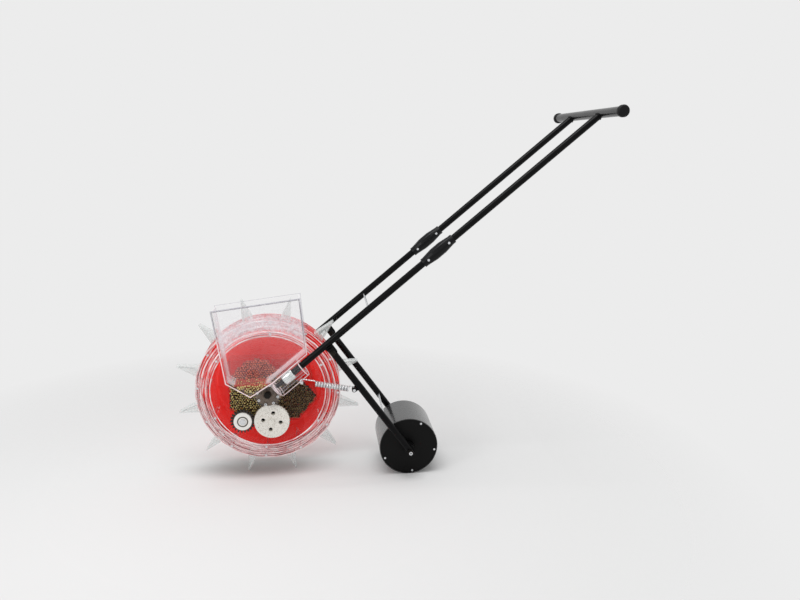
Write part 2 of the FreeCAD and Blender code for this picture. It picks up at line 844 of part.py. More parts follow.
def pivot_lug(y):
    """The welded lug that the arm swings on; its square heel stops the arm in front."""
    root = tube_radius - weld_overlap - pivot_drop
    heel = arm_point(lug_radius, -lug_heel)
    foot = arm_point(lug_radius, 0)
    turn = math.radians(45)
    bend = arm_point(lug_radius * math.cos(turn), lug_radius * math.sin(turn))
    rear = arm_point(0, lug_radius)
    top_rear = arm_point(root, lug_radius)
    top_front = arm_point(root, -lug_radius)
    front = arm_point(0, -lug_heel)
    low = V(0, y - lug_thickness / 2, 0)
    edges = [
        Part.LineSegment(heel + low, foot + low).toShape(),
        Part.Arc(foot + low, bend + low, rear + low).toShape(),
        Part.LineSegment(rear + low, top_rear + low).toShape(),
        Part.LineSegment(top_rear + low, top_front + low).toShape(),
        Part.LineSegment(top_front + low, front + low).toShape(),
        Part.LineSegment(front + low, heel + low).toShape(),
    ]
    return Part.Face(Part.Wire(edges)).extrude(V(0, lug_thickness, 0))


def lower_tube(y, start):
    """A lower handle tube with the lug for the roller arm."""
    foot = handle_point(start, 0, y)
    top = handle_point(splice_t - splice_gap / 2, 0, y)
    body = rod(foot, top, tube_radius).fuse(pivot_lug(y))
    cuts = [
        rod(foot, top, tube_radius - tube_wall),
        cylinder_y(pivot_bolt_radius, y - lug_thickness, y + lug_thickness, arm_pivot.x, arm_pivot.z),
    ]
    return body, cuts


def near_lower_tube():
    body, cuts = lower_tube(-tube_half_spacing, near_tube_start)
    return body.cut(cuts)


def far_lower_tube():
    """The far tube ends in an eye that is clamped on the axle."""
    y = tube_half_spacing
    body, cuts = lower_tube(y, far_tube_start)
    eye = cylinder_y(eye_radius, y - eye_length / 2, y + eye_length / 2)
    foot = handle_point(far_tube_start, 0, y)
    cap_top = handle_point(far_tube_start + eye_cap_thickness, 0, y)
    cap = rod(foot, cap_top, tube_radius - eye_cap_inset)
    bore = cylinder_y(axle_radius, y - eye_length, y + eye_length)
    return body.cut(cuts).multiFuse([eye, cap]).cut(bore)


def upper_tube(y):
    """An upper handle tube, coped to seat on the cross bar."""
    start = handle_point(splice_t + splice_gap / 2, 0, y)
    end = handle_point(handle_length, 0, y)
    bar = handle_point(handle_length)
    cope = cylinder_y(bar_radius, y - 2 * tube_radius, y + 2 * tube_radius, bar.x, bar.z)
    return tube(start, end, tube_radius, tube_wall).cut(cope)


def handlebar():
    bar = handle_point(handle_length)
    return ring_y(bar_radius, bar_radius - bar_wall, -bar_half_length, bar_half_length, bar.x, bar.z)


def handlebar_knobs():
    """Rounded plugs pushed into both ends of the bar."""
    bar = handle_point(handle_length)
    knobs = []
    for side in (-1, 1):
        mouth = side * bar_half_length
        head = cylinder_y(knob_radius, 0, knob_length, bar.x, bar.z)
        head = head.makeChamfer(knob_radius / 5, [e for e in head.Edges if e.Closed])
        plug = cylinder_y(bar_radius - bar_wall, -knob_plug, 1, bar.x, bar.z)
        knob = head.fuse(plug)
        if side < 0:
            knob = knob.mirror(V(0, 0, 0), V(0, 1, 0))
        knob.translate(V(0, mouth, 0))
        knobs.append(knob)
    return group(knobs)


def coupler_half(y, side):
    """Half of a spindle-shaped splice clamp, split along the handle's plane."""
    half = coupler_length / 2
    bore = tube_radius + coupler_fit
    collar = half - coupler_collar
    centre = handle_point(splice_t, 0, y)
    profile = [
        V(bore, 0, -half), V(coupler_end_radius, 0, -half), V(coupler_end_radius, 0, -collar),
        V(coupler_mid_radius, 0, -collar / 3), V(coupler_mid_radius, 0, collar / 3),
        V(coupler_end_radius, 0, collar), V(coupler_end_radius, 0, half), V(bore, 0, half),
    ]
    face = Part.Face(Part.makePolygon(profile + profile[:1]))
    body = face.revolve(V(0, 0, 0), V(0, 0, 1), 360)
    keep = Part.makeBox(4 * half, 2 * half, 4 * half, V(-2 * half, 0, -2 * half))
    keep.translate(V(0, coupler_split / 2, 0))
    if side < 0:
        keep = keep.mirror(V(0, 0, 0), V(0, 1, 0))
    body = body.common(keep)
    body.rotate(V(0, 0, 0), V(0, 1, 0), 90 - handle_angle)
    body.translate(centre)
    return body


def coupler_screw_prism(sides, flats, y, offset, depth):
    """A prism where a coupler screw goes in, from its seat out by depth."""
    at = handle_point(splice_t + offset)
    return flat_sided_y(sides, flats, y - coupler_seat_y - depth, y - coupler_seat_y, at.x, at.z)


def coupler_near_half(y):
    """The half that carries the two screw heads in counterbored seats."""
    body = coupler_half(y, -1)
    for offset in (-coupler_screw_offset, coupler_screw_offset):
        body = body.cut(coupler_screw_prism(8, coupler_seat_flats, y, offset, coupler_mid_radius))
    return body


def coupler_screws():
    heads = []
    for y in (-tube_half_spacing, tube_half_spacing):
        for offset in (-coupler_screw_offset, coupler_screw_offset):
            heads.append(coupler_screw_prism(6, coupler_screw_flats, y, offset, coupler_head_height))
    return group(heads)


def tube_stay():
    """The thin cross rod between the two lower handle tubes."""
    at = handle_point(stay_t)
    reach = tube_half_spacing - tube_radius
    return cylinder_y(stay_radius, -reach, reach, at.x, at.z)


def arm_tube(y):
    """A straight roller arm, slotted at the top to straddle the lug."""
    top = arm_point(-arm_top_overrun, 0, y)
    foot = arm_point(arm_length + arm_foot_overrun, 0, y)
    slot_floor = arm_point(lug_radius + slot_clearance, 0, y)
    slot_half = lug_thickness / 2 + slot_clearance
    across = arm_side * (2 * arm_radius)
    open_end = top - arm_axis * slot_clearance
    corners = [open_end - across, slot_floor - across, slot_floor + across, open_end + across]
    slot = prism_y([(p.x, p.z) for p in corners], y - slot_half, y + slot_half)
    bolt_hole = cylinder_y(
        pivot_bolt_radius + running_fit, y - 2 * arm_radius, y + 2 * arm_radius, arm_pivot.x, arm_pivot.z,
    )
    axle_hole = cylinder_y(
        roller_axle_radius, y - 2 * arm_radius, y + 2 * arm_radius, roller_centre.x, roller_centre.z,
    )
    return rod(top, foot, arm_radius), [rod(top, foot, arm_radius - arm_wall), slot, bolt_hole, axle_hole]


def far_arm():
    body, cuts = arm_tube(tube_half_spacing)
    return body.cut(cuts)


arm_pin_point = arm_point(arm_pin_s, -arm_pin_reach, -tube_half_spacing)


def near_arm():
    """The near arm also carries the ears for the spring's lower pin."""
    body, cuts = arm_tube(-tube_half_spacing)
    root = arm_point(arm_pin_s, weld_overlap - arm_radius, -tube_half_spacing)
    ears = ear_pair(arm_pin_point, root)
    cuts.append(
        cylinder_y(
            spring_pin_radius, -tube_half_spacing - 2 * arm_radius, -tube_half_spacing + 2 * arm_radius,
            arm_pin_point.x, arm_pin_point.z,
        )
    )
    return body.multiFuse(ears).cut(cuts)


def spring_pin(at):
    reach = ear_gap / 2 + ear_thickness + spring_pin_overhang
    low, high = -tube_half_spacing - reach, -tube_half_spacing + reach
    pin = cylinder_y(spring_pin_radius, low, high, at.x, at.z)
    return pin.fuse(cylinder_y(spring_pin_head, low - spring_pin_overhang, low, at.x, at.z))


def pivot_bolts():
    """A bolt and nut at each arm's top, heads towards the drum."""
    pieces = []
    for side in (-1, 1):
        head_y = tube_half_spacing - arm_radius - side_gap
        nut_y = tube_half_spacing + arm_radius + side_gap
        head = hex_y(pivot_head_flats, head_y - pivot_head_height, head_y, arm_pivot.x, arm_pivot.z)
        shank = cylinder_y(
            pivot_bolt_radius, head_y - 1, nut_y + pivot_head_height + pivot_bolt_overrun,
            arm_pivot.x, arm_pivot.z,
        )
        nut = hex_y(pivot_head_flats, nut_y, nut_y + pivot_head_height, arm_pivot.x, arm_pivot.z)
        bolt = shank.multiFuse([head, nut])
        pieces.append(bolt if side > 0 else bolt.mirror(V(0, 0, 0), V(0, 1, 0)))
    return group(pieces)


def arm_stay():
    at = arm_point(arm_stay_s)
    reach = tube_half_spacing - arm_radius
    return cylinder_y(stay_radius, -reach, reach, at.x, at.z)


def roller_axle():
    reach = tube_half_spacing + arm_radius + side_gap + roller_nut_height + roller_axle_end
    return cylinder_y(roller_axle_radius, -reach, reach, roller_centre.x, roller_centre.z)


def roller_nuts():
    pieces = []
    for side in (-1, 1):
        inner = tube_half_spacing + arm_radius + side_gap
        nut = hex_nut_y(
            roller_nut_flats, roller_axle_radius, inner, inner + roller_nut_height,
            roller_centre.x, roller_centre.z,
        )
        pieces.append(nut if side > 0 else nut.mirror(V(0, 0, 0), V(0, 1, 0)))
    return group(pieces)


def roller_shell():
    return ring_y(
        roller_radius, roller_radius - roller_wall, -roller_half_length, roller_half_length,
        roller_centre.x, roller_centre.z,
    )


disc_outer_y = roller_half_length - disc_inset


def roller_discs():
    """The two end discs; each is pressed into the shell and bored for its bush."""
    discs = []
    for y0 in (-disc_outer_y, disc_outer_y - disc_thickness):
        discs.append(
            ring_y(
                roller_radius - roller_wall, bush_radius, y0, y0 + disc_thickness,
                roller_centre.x, roller_centre.z,
            )
        )
    return discs


def roller_rivets():
    heads = []
    for k in range(rivet_count):
        x, z = polar(rivet_circle, rivet_angle + k * 360 / rivet_count)
        for y0 in (-disc_outer_y - rivet_height, disc_outer_y):
            at = roller_centre + V(x, 0, z)
            heads.append(flat_sided_y(12, rivet_flats, y0, y0 + rivet_height, at.x, at.z))
    return group(heads)


def roller_bushes():
    """Long bushes that turn on the axle and space the roller from its arms."""
    bore = roller_axle_radius + running_fit
    pieces = []
    for side in (-1, 1):
        seat = disc_outer_y - disc_thickness
        end = tube_half_spacing - arm_radius - side_gap
        bush = ring_y(bush_radius, bore, seat - bush_lip, end, roller_centre.x, roller_centre.z)
        pieces.append(bush if side > 0 else bush.mirror(V(0, 0, 0), V(0, 1, 0)))
    return group(pieces)


def biarc(start, start_way, end, end_way):
    """Two arcs that join smoothly and leave and arrive in the given directions."""
    span = end - start
    ways = start_way + end_way
    closing = 2 * (1 - start_way.dot(end_way))
    reach = span.dot(ways)
    if closing > 1e-9:
        d = (-reach + math.sqrt(reach ** 2 + closing * span.dot(span))) / closing
    else:
        d = span.dot(span) / (2 * reach)
    first = start + start_way * d
    last = end - end_way * d
    joint = (first + last) * 0.5
    return [arc_through(start, first, joint), arc_through(joint, last, end)]


def arc_through(start, corner, end):
    """The arc from start to end whose end tangents meet at the corner."""
    chord = end - start
    middle = (start + end) * 0.5
    rise = corner - middle
    half = chord.Length / 2
    if rise.Length < 1e-7 * half:
        return Part.LineSegment(start, end).toShape()
    quarter = math.atan2(rise.Length, half) / 2
    bulge = rise.normalize() * (half * math.tan(quarter))
    return Part.Arc(start, middle + bulge, end).toShape()


def press_spring():
    """A close-coiled tension spring: one wire, wound and hooked over a pin at each end."""
    centre_a = anchor_point
    centre_b = arm_pin_point
    along = (centre_b - centre_a).normalize()
    up = V(-along.z, 0, along.x)
    out = V(0, 1, 0)
    span = (centre_b - centre_a).Length
    coil_length = span - coil_start - coil_end_margin
    pitch = coil_length / coil_turns
    radius = coil_mean_radius

    def coil_point(turn):
        angle = 2 * math.pi * turn
        place = up * math.cos(angle) + out * math.sin(angle)
        return centre_a + along * (coil_start + pitch * turn) + place * radius

    def coil_way(turn):
        angle = 2 * math.pi * turn
        round_way = up * -math.sin(angle) + out * math.cos(angle)
        return (round_way * (2 * math.pi * radius) + along * pitch).normalize()

    # Hook circles bear on the far side of each pin
    bearing = spring_pin_radius + wire_radius + hook_seat_gap
    hook_a = centre_a + along * (radius - bearing)
    hook_b = centre_b - along * (radius - bearing)
    edges = []
    tip_a = hook_a - up * radius + along * hook_tip
    edges.append(Part.LineSegment(tip_a, hook_a - up * radius).toShape())
    edges.append(Part.Arc(hook_a - up * radius, hook_a - along * radius, hook_a + up * radius).toShape())
    start = coil_point(0)
    leg_end = start - along * leg_run - out * leg_rise
    edges.append(Part.LineSegment(hook_a + up * radius, V(leg_end.x, hook_a.y, leg_end.z)).toShape())
    edges += biarc(V(leg_end.x, hook_a.y, leg_end.z), along, start, coil_way(0))
    for half in range(2 * coil_turns):
        t0, t1 = half / 2, (half + 1) / 2
        edges += biarc(coil_point(t0), coil_way(t0), coil_point(t1), coil_way(t1))
    finish = coil_point(coil_turns)
    leg_start = finish + along * leg_run
    edges += biarc(finish, coil_way(coil_turns), leg_start, along)
    edges.append(Part.LineSegment(leg_start, hook_b + up * radius).toShape())
    edges.append(Part.Arc(hook_b + up * radius, hook_b + along * radius, hook_b - up * radius).toShape())
    tip_b = hook_b - up * radius
    edges.append(Part.LineSegment(tip_b, tip_b - along * hook_tip).toShape())
    path = Part.Wire(edges)
    corners = []
    for k in range(wire_sides):
        turn = 2 * math.pi * k / wire_sides
        corners.append(tip_a + (up * math.cos(turn) + out * math.sin(turn)) * wire_radius)
    section = Part.makePolygon(corners + corners[:1])
    print("press spring: pitch %.2f mm, least gap to itself %.2f mm" % (pitch, self_gap(path)))
    return path.makePipeShell([section], True, False)


def self_gap(path):
    """The least gap between parts of the wire that lie over half a turn apart along it."""
    step = wire_radius / 2
    points = path.discretize(Distance=step)
    apart = int(math.pi * coil_mean_radius / step)
    least = path.Length
    for i, point in enumerate(points):
        for other in points[i + apart:i + 4 * apart]:
            least = min(least, point.distanceToPoint(other))
    return least - 2 * wire_radius


# Every piece by name; the twelve flaps are one file each because each one swings
near_disc, far_disc = roller_discs()
pieces = {
    "handlebar": handlebar(),
    "handlebar_knobs": handlebar_knobs(),
    "near_upper_tube": upper_tube(-tube_half_spacing),
    "far_upper_tube": upper_tube(tube_half_spacing),
    "near_lower_tube": near_lower_tube(),
    "far_lower_tube": far_lower_tube(),
    "near_coupler_front_half": coupler_near_half(-tube_half_spacing),
    "near_coupler_back_half": coupler_half(-tube_half_spacing, 1),
    "far_coupler_front_half": coupler_near_half(tube_half_spacing),
    "far_coupler_back_half": coupler_half(tube_half_spacing, 1),
    "coupler_screws": coupler_screws(),
    "tube_stay": tube_stay(),
    "tube_sleeve": tube_sleeve(),
    "tube_stub": tube_stub(),
    "drum_axle": drum_axle(),
    "axle_nuts": axle_nuts(),
    "axle_collars": axle_collars(),
    "hub_flange": hub_flange(),
    "hub_screws": hub_screws(),
    "hopper": hopper(),
    "seed_box": seed_box(),
    "seed_charge": seed_charge(),
    "pinion_pin": gear_pin(pinion_x, pinion_z),
    "dial_pin": gear_pin(dial_x, dial_z),
    "drive_pinion": drive_pinion(),
    "seed_dial": seed_dial(),
    "drum_plate": drum_plate(),
    "drum_rim": drum_rim(),
    "front_cover": front_cover(),
    "ring_gear": ring_gear(),
    "drum_screws": drum_screws(),
    "hub_bearings": hub_bearings(),
    "near_arm": near_arm(),
    "far_arm": far_arm(),
    "pivot_bolts": pivot_bolts(),
    "arm_stay": arm_stay(),
    "anchor_pin": spring_pin(anchor_point),
    "arm_spring_pin": spring_pin(arm_pin_point),
    "press_spring": press_spring(),
    "roller_axle": roller_axle(),
    "roller_nuts": roller_nuts(),
    "roller_shell": roller_shell(),
    "roller_near_disc": near_disc,
    "roller_far_disc": far_disc,
    "roller_rivets": roller_rivets(),
    "roller_bushes": roller_bushes(),
}
body = beak_body()
flap = beak_flap()
pieces["beak_bodies"] = group([spun(body, angle) for angle in drum_angles()])
for index, angle in enumerate(drum_angles()):
    pieces["beak_flap_%02d" % (index + 1)] = spun(flap, angle)
for name, shape in pieces.items():
    save(name, shape)
print(len(pieces), "files; the axle stands", round(axle_height, 1), "mm above the ground")
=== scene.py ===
# %% [markdown]
# # A dial seed sower, dressed for the studio
# The frame is a finished engineering model of the sower in metres. This lesson gives each of its parts
# the finish of the real material, and adds the detail that a moulded, plated or wound part shows.

# %% Load the frame
import json
import math
import random

import bmesh
import bpy
from mathutils import Matrix, Vector


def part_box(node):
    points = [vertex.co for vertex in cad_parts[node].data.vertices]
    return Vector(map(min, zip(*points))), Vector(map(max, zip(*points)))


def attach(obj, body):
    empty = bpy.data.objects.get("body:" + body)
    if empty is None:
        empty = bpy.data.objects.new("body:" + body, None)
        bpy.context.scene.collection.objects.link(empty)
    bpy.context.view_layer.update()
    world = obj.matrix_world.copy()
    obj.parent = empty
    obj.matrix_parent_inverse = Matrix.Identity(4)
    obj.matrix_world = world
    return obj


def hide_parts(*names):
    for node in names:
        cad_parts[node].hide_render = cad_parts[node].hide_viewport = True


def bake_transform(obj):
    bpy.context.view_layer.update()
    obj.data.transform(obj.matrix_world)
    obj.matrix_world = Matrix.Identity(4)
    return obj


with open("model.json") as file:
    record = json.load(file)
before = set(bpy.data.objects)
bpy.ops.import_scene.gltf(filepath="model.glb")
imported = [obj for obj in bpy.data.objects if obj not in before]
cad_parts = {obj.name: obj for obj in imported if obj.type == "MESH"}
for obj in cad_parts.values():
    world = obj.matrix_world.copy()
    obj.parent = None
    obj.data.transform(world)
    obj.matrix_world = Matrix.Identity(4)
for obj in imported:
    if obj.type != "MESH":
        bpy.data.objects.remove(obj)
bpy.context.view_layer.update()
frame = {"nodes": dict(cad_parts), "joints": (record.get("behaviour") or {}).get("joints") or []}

nodes = frame["nodes"]
joint_at = {joint["name"]: Vector(joint["pos_m"]) for joint in frame["joints"]}
axle = joint_at["drum_spin"]
mm = 0.001
print("nodes", len(nodes), "axle height", round(axle.z, 4))

# %% [markdown]
# ## The camera
# The photograph was taken from the hopper side, a little ahead of the sower and above it. A camera is
# placed by where it stands, the way it faces and its lens. Heading and dip are kept as two named angles,
# because they are easier to read than a quaternion.

# %% Place the camera
camera_place = Vector((0.1532, -1.9906, 0.9414))
camera_heading = 0.1149
camera_dip = 0.214

camera_data = bpy.data.cameras.new("studio_camera")
camera_data.lens = 31.86
camera_data.sensor_width = 36
camera = bpy.data.objects.new("studio_camera", camera_data)
camera.location = camera_place
camera.rotation_euler = (math.pi / 2 - camera_dip, 0, -camera_heading)
bpy.context.scene.collection.objects.link(camera)
bpy.context.scene.camera = camera
print("camera", tuple(round(v, 3) for v in camera.location))

# %% [markdown]
# ## Small helpers
# Colours are written as sRGB hex, as in any paint program, and turned to linear light by one function.
# Another adds any shader node with its settings and its links, so that each material reads like a recipe.

# %% Helpers for colours and shader nodes
def linear(hex_colour):
    """An sRGB hex colour as linear red, green, blue and alpha."""
    parts = [int(hex_colour[k:k + 2], 16) / 255 for k in (1, 3, 5)]
    return tuple(c / 12.92 if c <= 0.04045 else ((c + 0.055) / 1.055) ** 2.4 for c in parts) + (1.0,)


def add_node(tree, kind, inputs=(), **options):
    """Adds a shader node. An input takes a number, a hex colour, a socket or a node's first live output."""
    node = tree.nodes.new("ShaderNode" + kind)
    for name, value in options.items():
        setattr(node, name, value)
    for socket, value in dict(inputs).items():
        if isinstance(value, bpy.types.Node):
            value = next(output for output in value.outputs if output.enabled)
        if isinstance(value, bpy.types.NodeSocket):
            tree.links.new(value, node.inputs[socket])
        else:
            node.inputs[socket].default_value = linear(value) if isinstance(value, str) else value
    return node


def new_material(name):
    """An empty material, its node tree and the place on the part, fixed to the part itself."""
    material = bpy.data.materials.new(name)
    material.use_nodes = True
    tree = material.node_tree
    tree.nodes.clear()
    return material, tree, add_node(tree, "TexCoord").outputs["Object"]


def side_distance(tree, place, x, z):
    """The distance from a line that runs straight across the sower, such as the middle of a pin."""
    flat = add_node(tree, "VectorMath", {0: place, 1: (1, 0, 1)}, operation="MULTIPLY")
    return add_node(tree, "VectorMath", {0: flat, 1: (x, 0, z)}, operation="DISTANCE")


def end_material(tree, inputs):
    """Ends a recipe: a Principled shader with these inputs goes to the output."""
    shader = add_node(tree, "BsdfPrincipled", inputs)
    add_node(tree, "OutputMaterial", {"Surface": shader})


def skin(name, drift_mm, grain_mm, colours, roughness, relief_mm, constants):
    """A solid finish: colour and gloss drift over a broad noise, and a fine noise gives the relief."""
    material, tree, place = new_material(name)
    drift = add_node(tree, "TexNoise", {"Vector": place, "Scale": 1 / (drift_mm * mm), "Detail": 3.0})
    grain = add_node(tree, "TexNoise", {"Vector": place, "Scale": 1 / (grain_mm * mm), "Detail": 3.0})
    end_material(tree, {
        "Base Color": add_node(tree, "Mix", {0: drift, 6: colours[0], 7: colours[1]}, data_type="RGBA"),
        "Roughness": add_node(tree, "MapRange", {
            "Value": drift, 1: 0.3, 2: 0.7, 3: roughness[0], 4: roughness[1],
        }),
        "Normal": add_node(tree, "Bump", {"Height": grain, "Distance": relief_mm * mm, "Strength": 0.6}),
    } | constants)
    return material


# %% [markdown]
# ## Painted steel
# The handle is steel tube under a stoved gloss paint. Paint levels itself but not quite: an orange peel
# about 2 mm wide breaks the long highlight of a tube. The cross bar carries more gloss than the tubes, and
# the pressed end discs of the roller less. One recipe serves all of them, because only numbers differ.

# %% Mix the paints
# Near black with a thin highlight
tube_paint = skin("stoved black paint on steel tube", 40, 2.0, ("#030304", "#09090a"), (0.2, 0.32), 0.02, {
    "Specular IOR Level": 0.11,
})
# A thick glossy coat: its upper side mirrors the studio and turns grey
bar_paint = skin("gloss black paint on the bar", 40, 2.0, ("#0a0a0b", "#121213"), (0.2, 0.3), 0.02, {
    "Specular IOR Level": 0.42,
})
# Rolled sheet keeps dents about 55 mm wide, which bend the reflection of the sky
shell_paint = skin("gloss black paint on rolled sheet", 12, 55, ("#1b1b1c", "#262627"), (0.22, 0.32), 0.35, {
    "Specular IOR Level": 0.75, "Coat Weight": 0.35, "Coat Roughness": 0.12,
})
# Flat paint stays black face on
disc_paint = skin("flat black paint on pressed sheet", 9, 1.2, ("#060606", "#0d0d0d"), (0.38, 0.52), 0.03, {
    "Specular IOR Level": 0.12,
})
print("paints mixed")

# %% [markdown]
# ## Bare and plated metal
# Zinc plating is bright but cloudy, chrome is a near mirror, and nuts dipped in black oxide stay dark with
# an oily shine. A metal keeps the default index of refraction; colour and roughness make the difference.

# %% Mix the metals
# Pale blue-grey with clouds about 6 mm wide
zinc = skin("bright zinc plating", 6, 1.5, ("#c3c6ca", "#e6e7e8"), (0.22, 0.36), 0.01, {"Metallic": 1.0})
# A mirror with a trace of haze
chrome = skin("polished chrome", 9, 3.0, ("#b9c0bf", "#f4f6f6"), (0.04, 0.1), 0.003, {"Metallic": 1.0})
# Dark brown-grey
oxide = skin("black oxide on steel", 4, 1.0, ("#1c1b1a", "#34312e"), (0.35, 0.5), 0.01, {"Metallic": 1.0})
# Blasted skin with a grain about 1.4 mm wide
casting = skin("blasted grey hub casting", 14, 1.4, ("#5a4e44", "#7d6d5f"), (0.42, 0.58), 0.06, {
    "Metallic": 0.45,
})


def spring_wire(start, end, pitch_mm):
    """Drawn and plated wire. The gaps between the coils are too fine to show, so their shade is painted as
    dark bands, drawn coarser.
    """
    material, tree, place = new_material("plated spring wire")
    along = (end - start).normalized()
    reach = add_node(tree, "VectorMath", {0: place, 1: along}, operation="DOT_PRODUCT")
    turns = add_node(tree, "Math", {0: reach, 1: 2 * math.pi / (pitch_mm * mm)}, operation="MULTIPLY")
    wave = add_node(tree, "Math", {0: turns}, operation="SINE")
    coil_gap_shade = add_node(tree, "MapRange", {"Value": wave, 1: -0.9, 2: 0.1, 3: 0.0, 4: 1.0})
    draw = add_node(tree, "TexNoise", {"Vector": place, "Scale": 1 / (1.5 * mm), "Detail": 2.0})
    end_material(tree, {
        "Base Color": add_node(tree, "Mix", {0: coil_gap_shade, 6: "#a6a8ab", 7: "#f4f5f6"}, data_type="RGBA"),
        "Metallic": 1.0,
        "Roughness": add_node(tree, "MapRange", {"Value": draw, 1: 0.3, 2: 0.7, 3: 0.2, 4: 0.32}),
    })
    return material


print("metals mixed")

# %% [markdown]
# ## Solid plastics
# The couplers are glass-filled nylon with moulded ribs, the end plugs are matte PVC, and the dial is an
# off-white recycled plastic full of specks. The pinion is one piece in two colours, told apart by the
# distance from its pin: a white hub with a groove in painted shade, and a dark toothed rim.

# %% Mix the solid plastics
# Matte with a grain finer than a millimetre
pvc = skin("matte black PVC", 30, 0.7, ("#050506", "#0b0b0d"), (0.45, 0.55), 0.05, {
    "Specular IOR Level": 0.2,
})
# A little glossier than the plugs
nylon = skin("moulded black nylon", 20, 0.9, ("#060607", "#0c0c0d"), (0.3, 0.38), 0.03, {
    "Specular IOR Level": 0.2,
})
# Glossy, with the slight swirl of a large moulding
red = skin("glossy red polystyrene", 60, 25, ("#ec130f", "#f8241a"), (0.22, 0.34), 0.2, {
    "Specular IOR Level": 0.35,
})


def ribbed_nylon(tilt):
    """Glass-filled nylon with ribs 4 mm apart that run along the handle and catch the light; their crests
    are painted a little lighter as painted highlight.
    """
    material, tree, place = new_material("ribbed black nylon")
    along = add_node(tree, "Mapping", {"Vector": place, "Rotation": (0, tilt, 0)})
    ribs = add_node(tree, "TexWave", {
        "Vector": along, "Scale": math.pi / (20 * 4.0 * mm), "Distortion": 0.0,
    }, bands_direction="Z", wave_profile="SIN")
    crest = ribs.outputs["Fac"]
    grain = add_node(tree, "TexNoise", {"Vector": place, "Scale": 1 / (0.9 * mm), "Detail": 2.0})
    end_material(tree, {
        "Base Color": add_node(tree, "Mix", {0: crest, 6: "#030304", 7: "#0c0c0f"}, data_type="RGBA"),
        "Roughness": add_node(tree, "MapRange", {"Value": grain, 1: 0.3, 2: 0.7, 3: 0.25, 4: 0.36}),
        "Specular IOR Level": 0.18,
        "Normal": add_node(tree, "Bump", {"Height": crest, "Distance": 0.5 * mm, "Strength": 0.8}),
    })
    return material


def speckled_plastic(centre, plate_radius):
    """Off-white recycled plastic with grey and brown specks from under 1 mm to 3 mm, on brown teeth."""
    material, tree, place = new_material("speckled off-white plastic")
    broad = add_node(tree, "TexNoise", {"Vector": place, "Scale": 1 / (7.0 * mm), "Detail": 3.0})
    fine = add_node(tree, "TexNoise", {"Vector": place, "Scale": 1 / (1.8 * mm), "Detail": 2.0})
    ground = add_node(tree, "Mix", {0: broad, 6: "#e6e1d6", 7: "#fdfbf5"}, data_type="RGBA").outputs[2]
    specks = add_node(tree, "MapRange", {"Value": fine, 1: 0.58, 2: 0.66, 3: 0.0, 4: 0.8})
    plate = add_node(tree, "Mix", {0: specks, 6: ground, 7: "#8c7f6c"}, data_type="RGBA").outputs[2]
    reach = side_distance(tree, place, centre.x, centre.z)
    teeth = add_node(tree, "Math", {0: reach, 1: plate_radius}, operation="GREATER_THAN")
    end_material(tree, {
        "Base Color": add_node(tree, "Mix", {0: teeth, 6: plate, 7: "#6b5a4e"}, data_type="RGBA"),
        "Roughness": 0.5,
        "Specular IOR Level": 0.4,
    })
    return material


def two_colour_acetal(centre, groove_inner, groove_outer, hub_radius):
    """White acetal hub with painted shade in its groove, in a dark toothed rim, by the distance from the
    pin.
    """
    material, tree, place = new_material("white and black acetal")
    reach = side_distance(tree, place, centre.x, centre.z)
    blur = 0.4 * mm
    into = add_node(tree, "MapRange", {
        "Value": reach, 1: groove_inner - blur, 2: groove_inner, 3: 0.0, 4: 1.0,
    })
    out = add_node(tree, "MapRange", {
        "Value": reach, 1: groove_outer, 2: groove_outer + blur, 3: 1.0, 4: 0.0,
    })
    # Painted shade: a grey ring between the groove's inner and outer radius
    groove = add_node(tree, "Math", {0: into, 1: out}, operation="MULTIPLY")
    hub = add_node(tree, "Mix", {0: groove, 6: "#f5f3ee", 7: "#5c5750"}, data_type="RGBA").outputs[2]
    rim = add_node(tree, "Math", {0: reach, 1: hub_radius}, operation="GREATER_THAN")
    end_material(tree, {
        "Base Color": add_node(tree, "Mix", {0: rim, 6: hub, 7: "#241d17"}, data_type="RGBA"),
        "Roughness": 0.38,
        "Specular IOR Level": 0.5,
    })
    return material


print("solid plastics mixed")

# %% [markdown]
# ## Clear plastics
# Hopper, rim, front ring and beaks are clear mouldings. A thin clear wall is nearly invisible face on and
# turns pale at a grazing angle, so its alpha follows the facing angle. A moulded edge gathers light and
# reads as a line, so that line is painted in: edges get denser materials of their own. True refraction
# would need a long render to come clean; a facing alpha shows the same walls and edges in a fraction of the
# time.

# %% Mix the clear plastics
def seen_alpha(tree, alpha, share=0.85):
    """Lowers an alpha for shadow and bounce rays, because clear plastic throws hardly any shadow."""
    rays = add_node(tree, "LightPath")
    unseen = add_node(tree, "Math", {
        0: rays.outputs["Is Shadow Ray"], 1: rays.outputs["Is Diffuse Ray"],
    }, operation="MAXIMUM")
    kept = add_node(tree, "Math", {0: unseen, 1: -share, 2: 1.0}, operation="MULTIPLY_ADD")
    return add_node(tree, "Math", {0: alpha, 1: kept}, operation="MULTIPLY", use_clamp=True)


def clear_wall(name, tint, face_alpha, grazing_alpha, roughness=0.06):
    """A clear wall with flow marks about 18 mm wide: faint face on, denser where it is seen edge on."""
    material, tree, place = new_material(name)
    facing = add_node(tree, "LayerWeight", {"Blend": 0.3}).outputs["Facing"]
    flow = add_node(tree, "TexNoise", {"Vector": place, "Scale": 1 / (18.0 * mm), "Detail": 2.0})
    alpha = add_node(tree, "MapRange", {"Value": facing, 1: 0.25, 2: 0.75, 3: face_alpha, 4: grazing_alpha})
    end_material(tree, {
        "Base Color": tint,
        "Roughness": roughness,
        "Alpha": seen_alpha(tree, alpha),
        "Specular IOR Level": 0.8,
        "Normal": add_node(tree, "Bump", {"Height": flow, "Distance": 0.15 * mm, "Strength": 0.5}),
    })
    return material


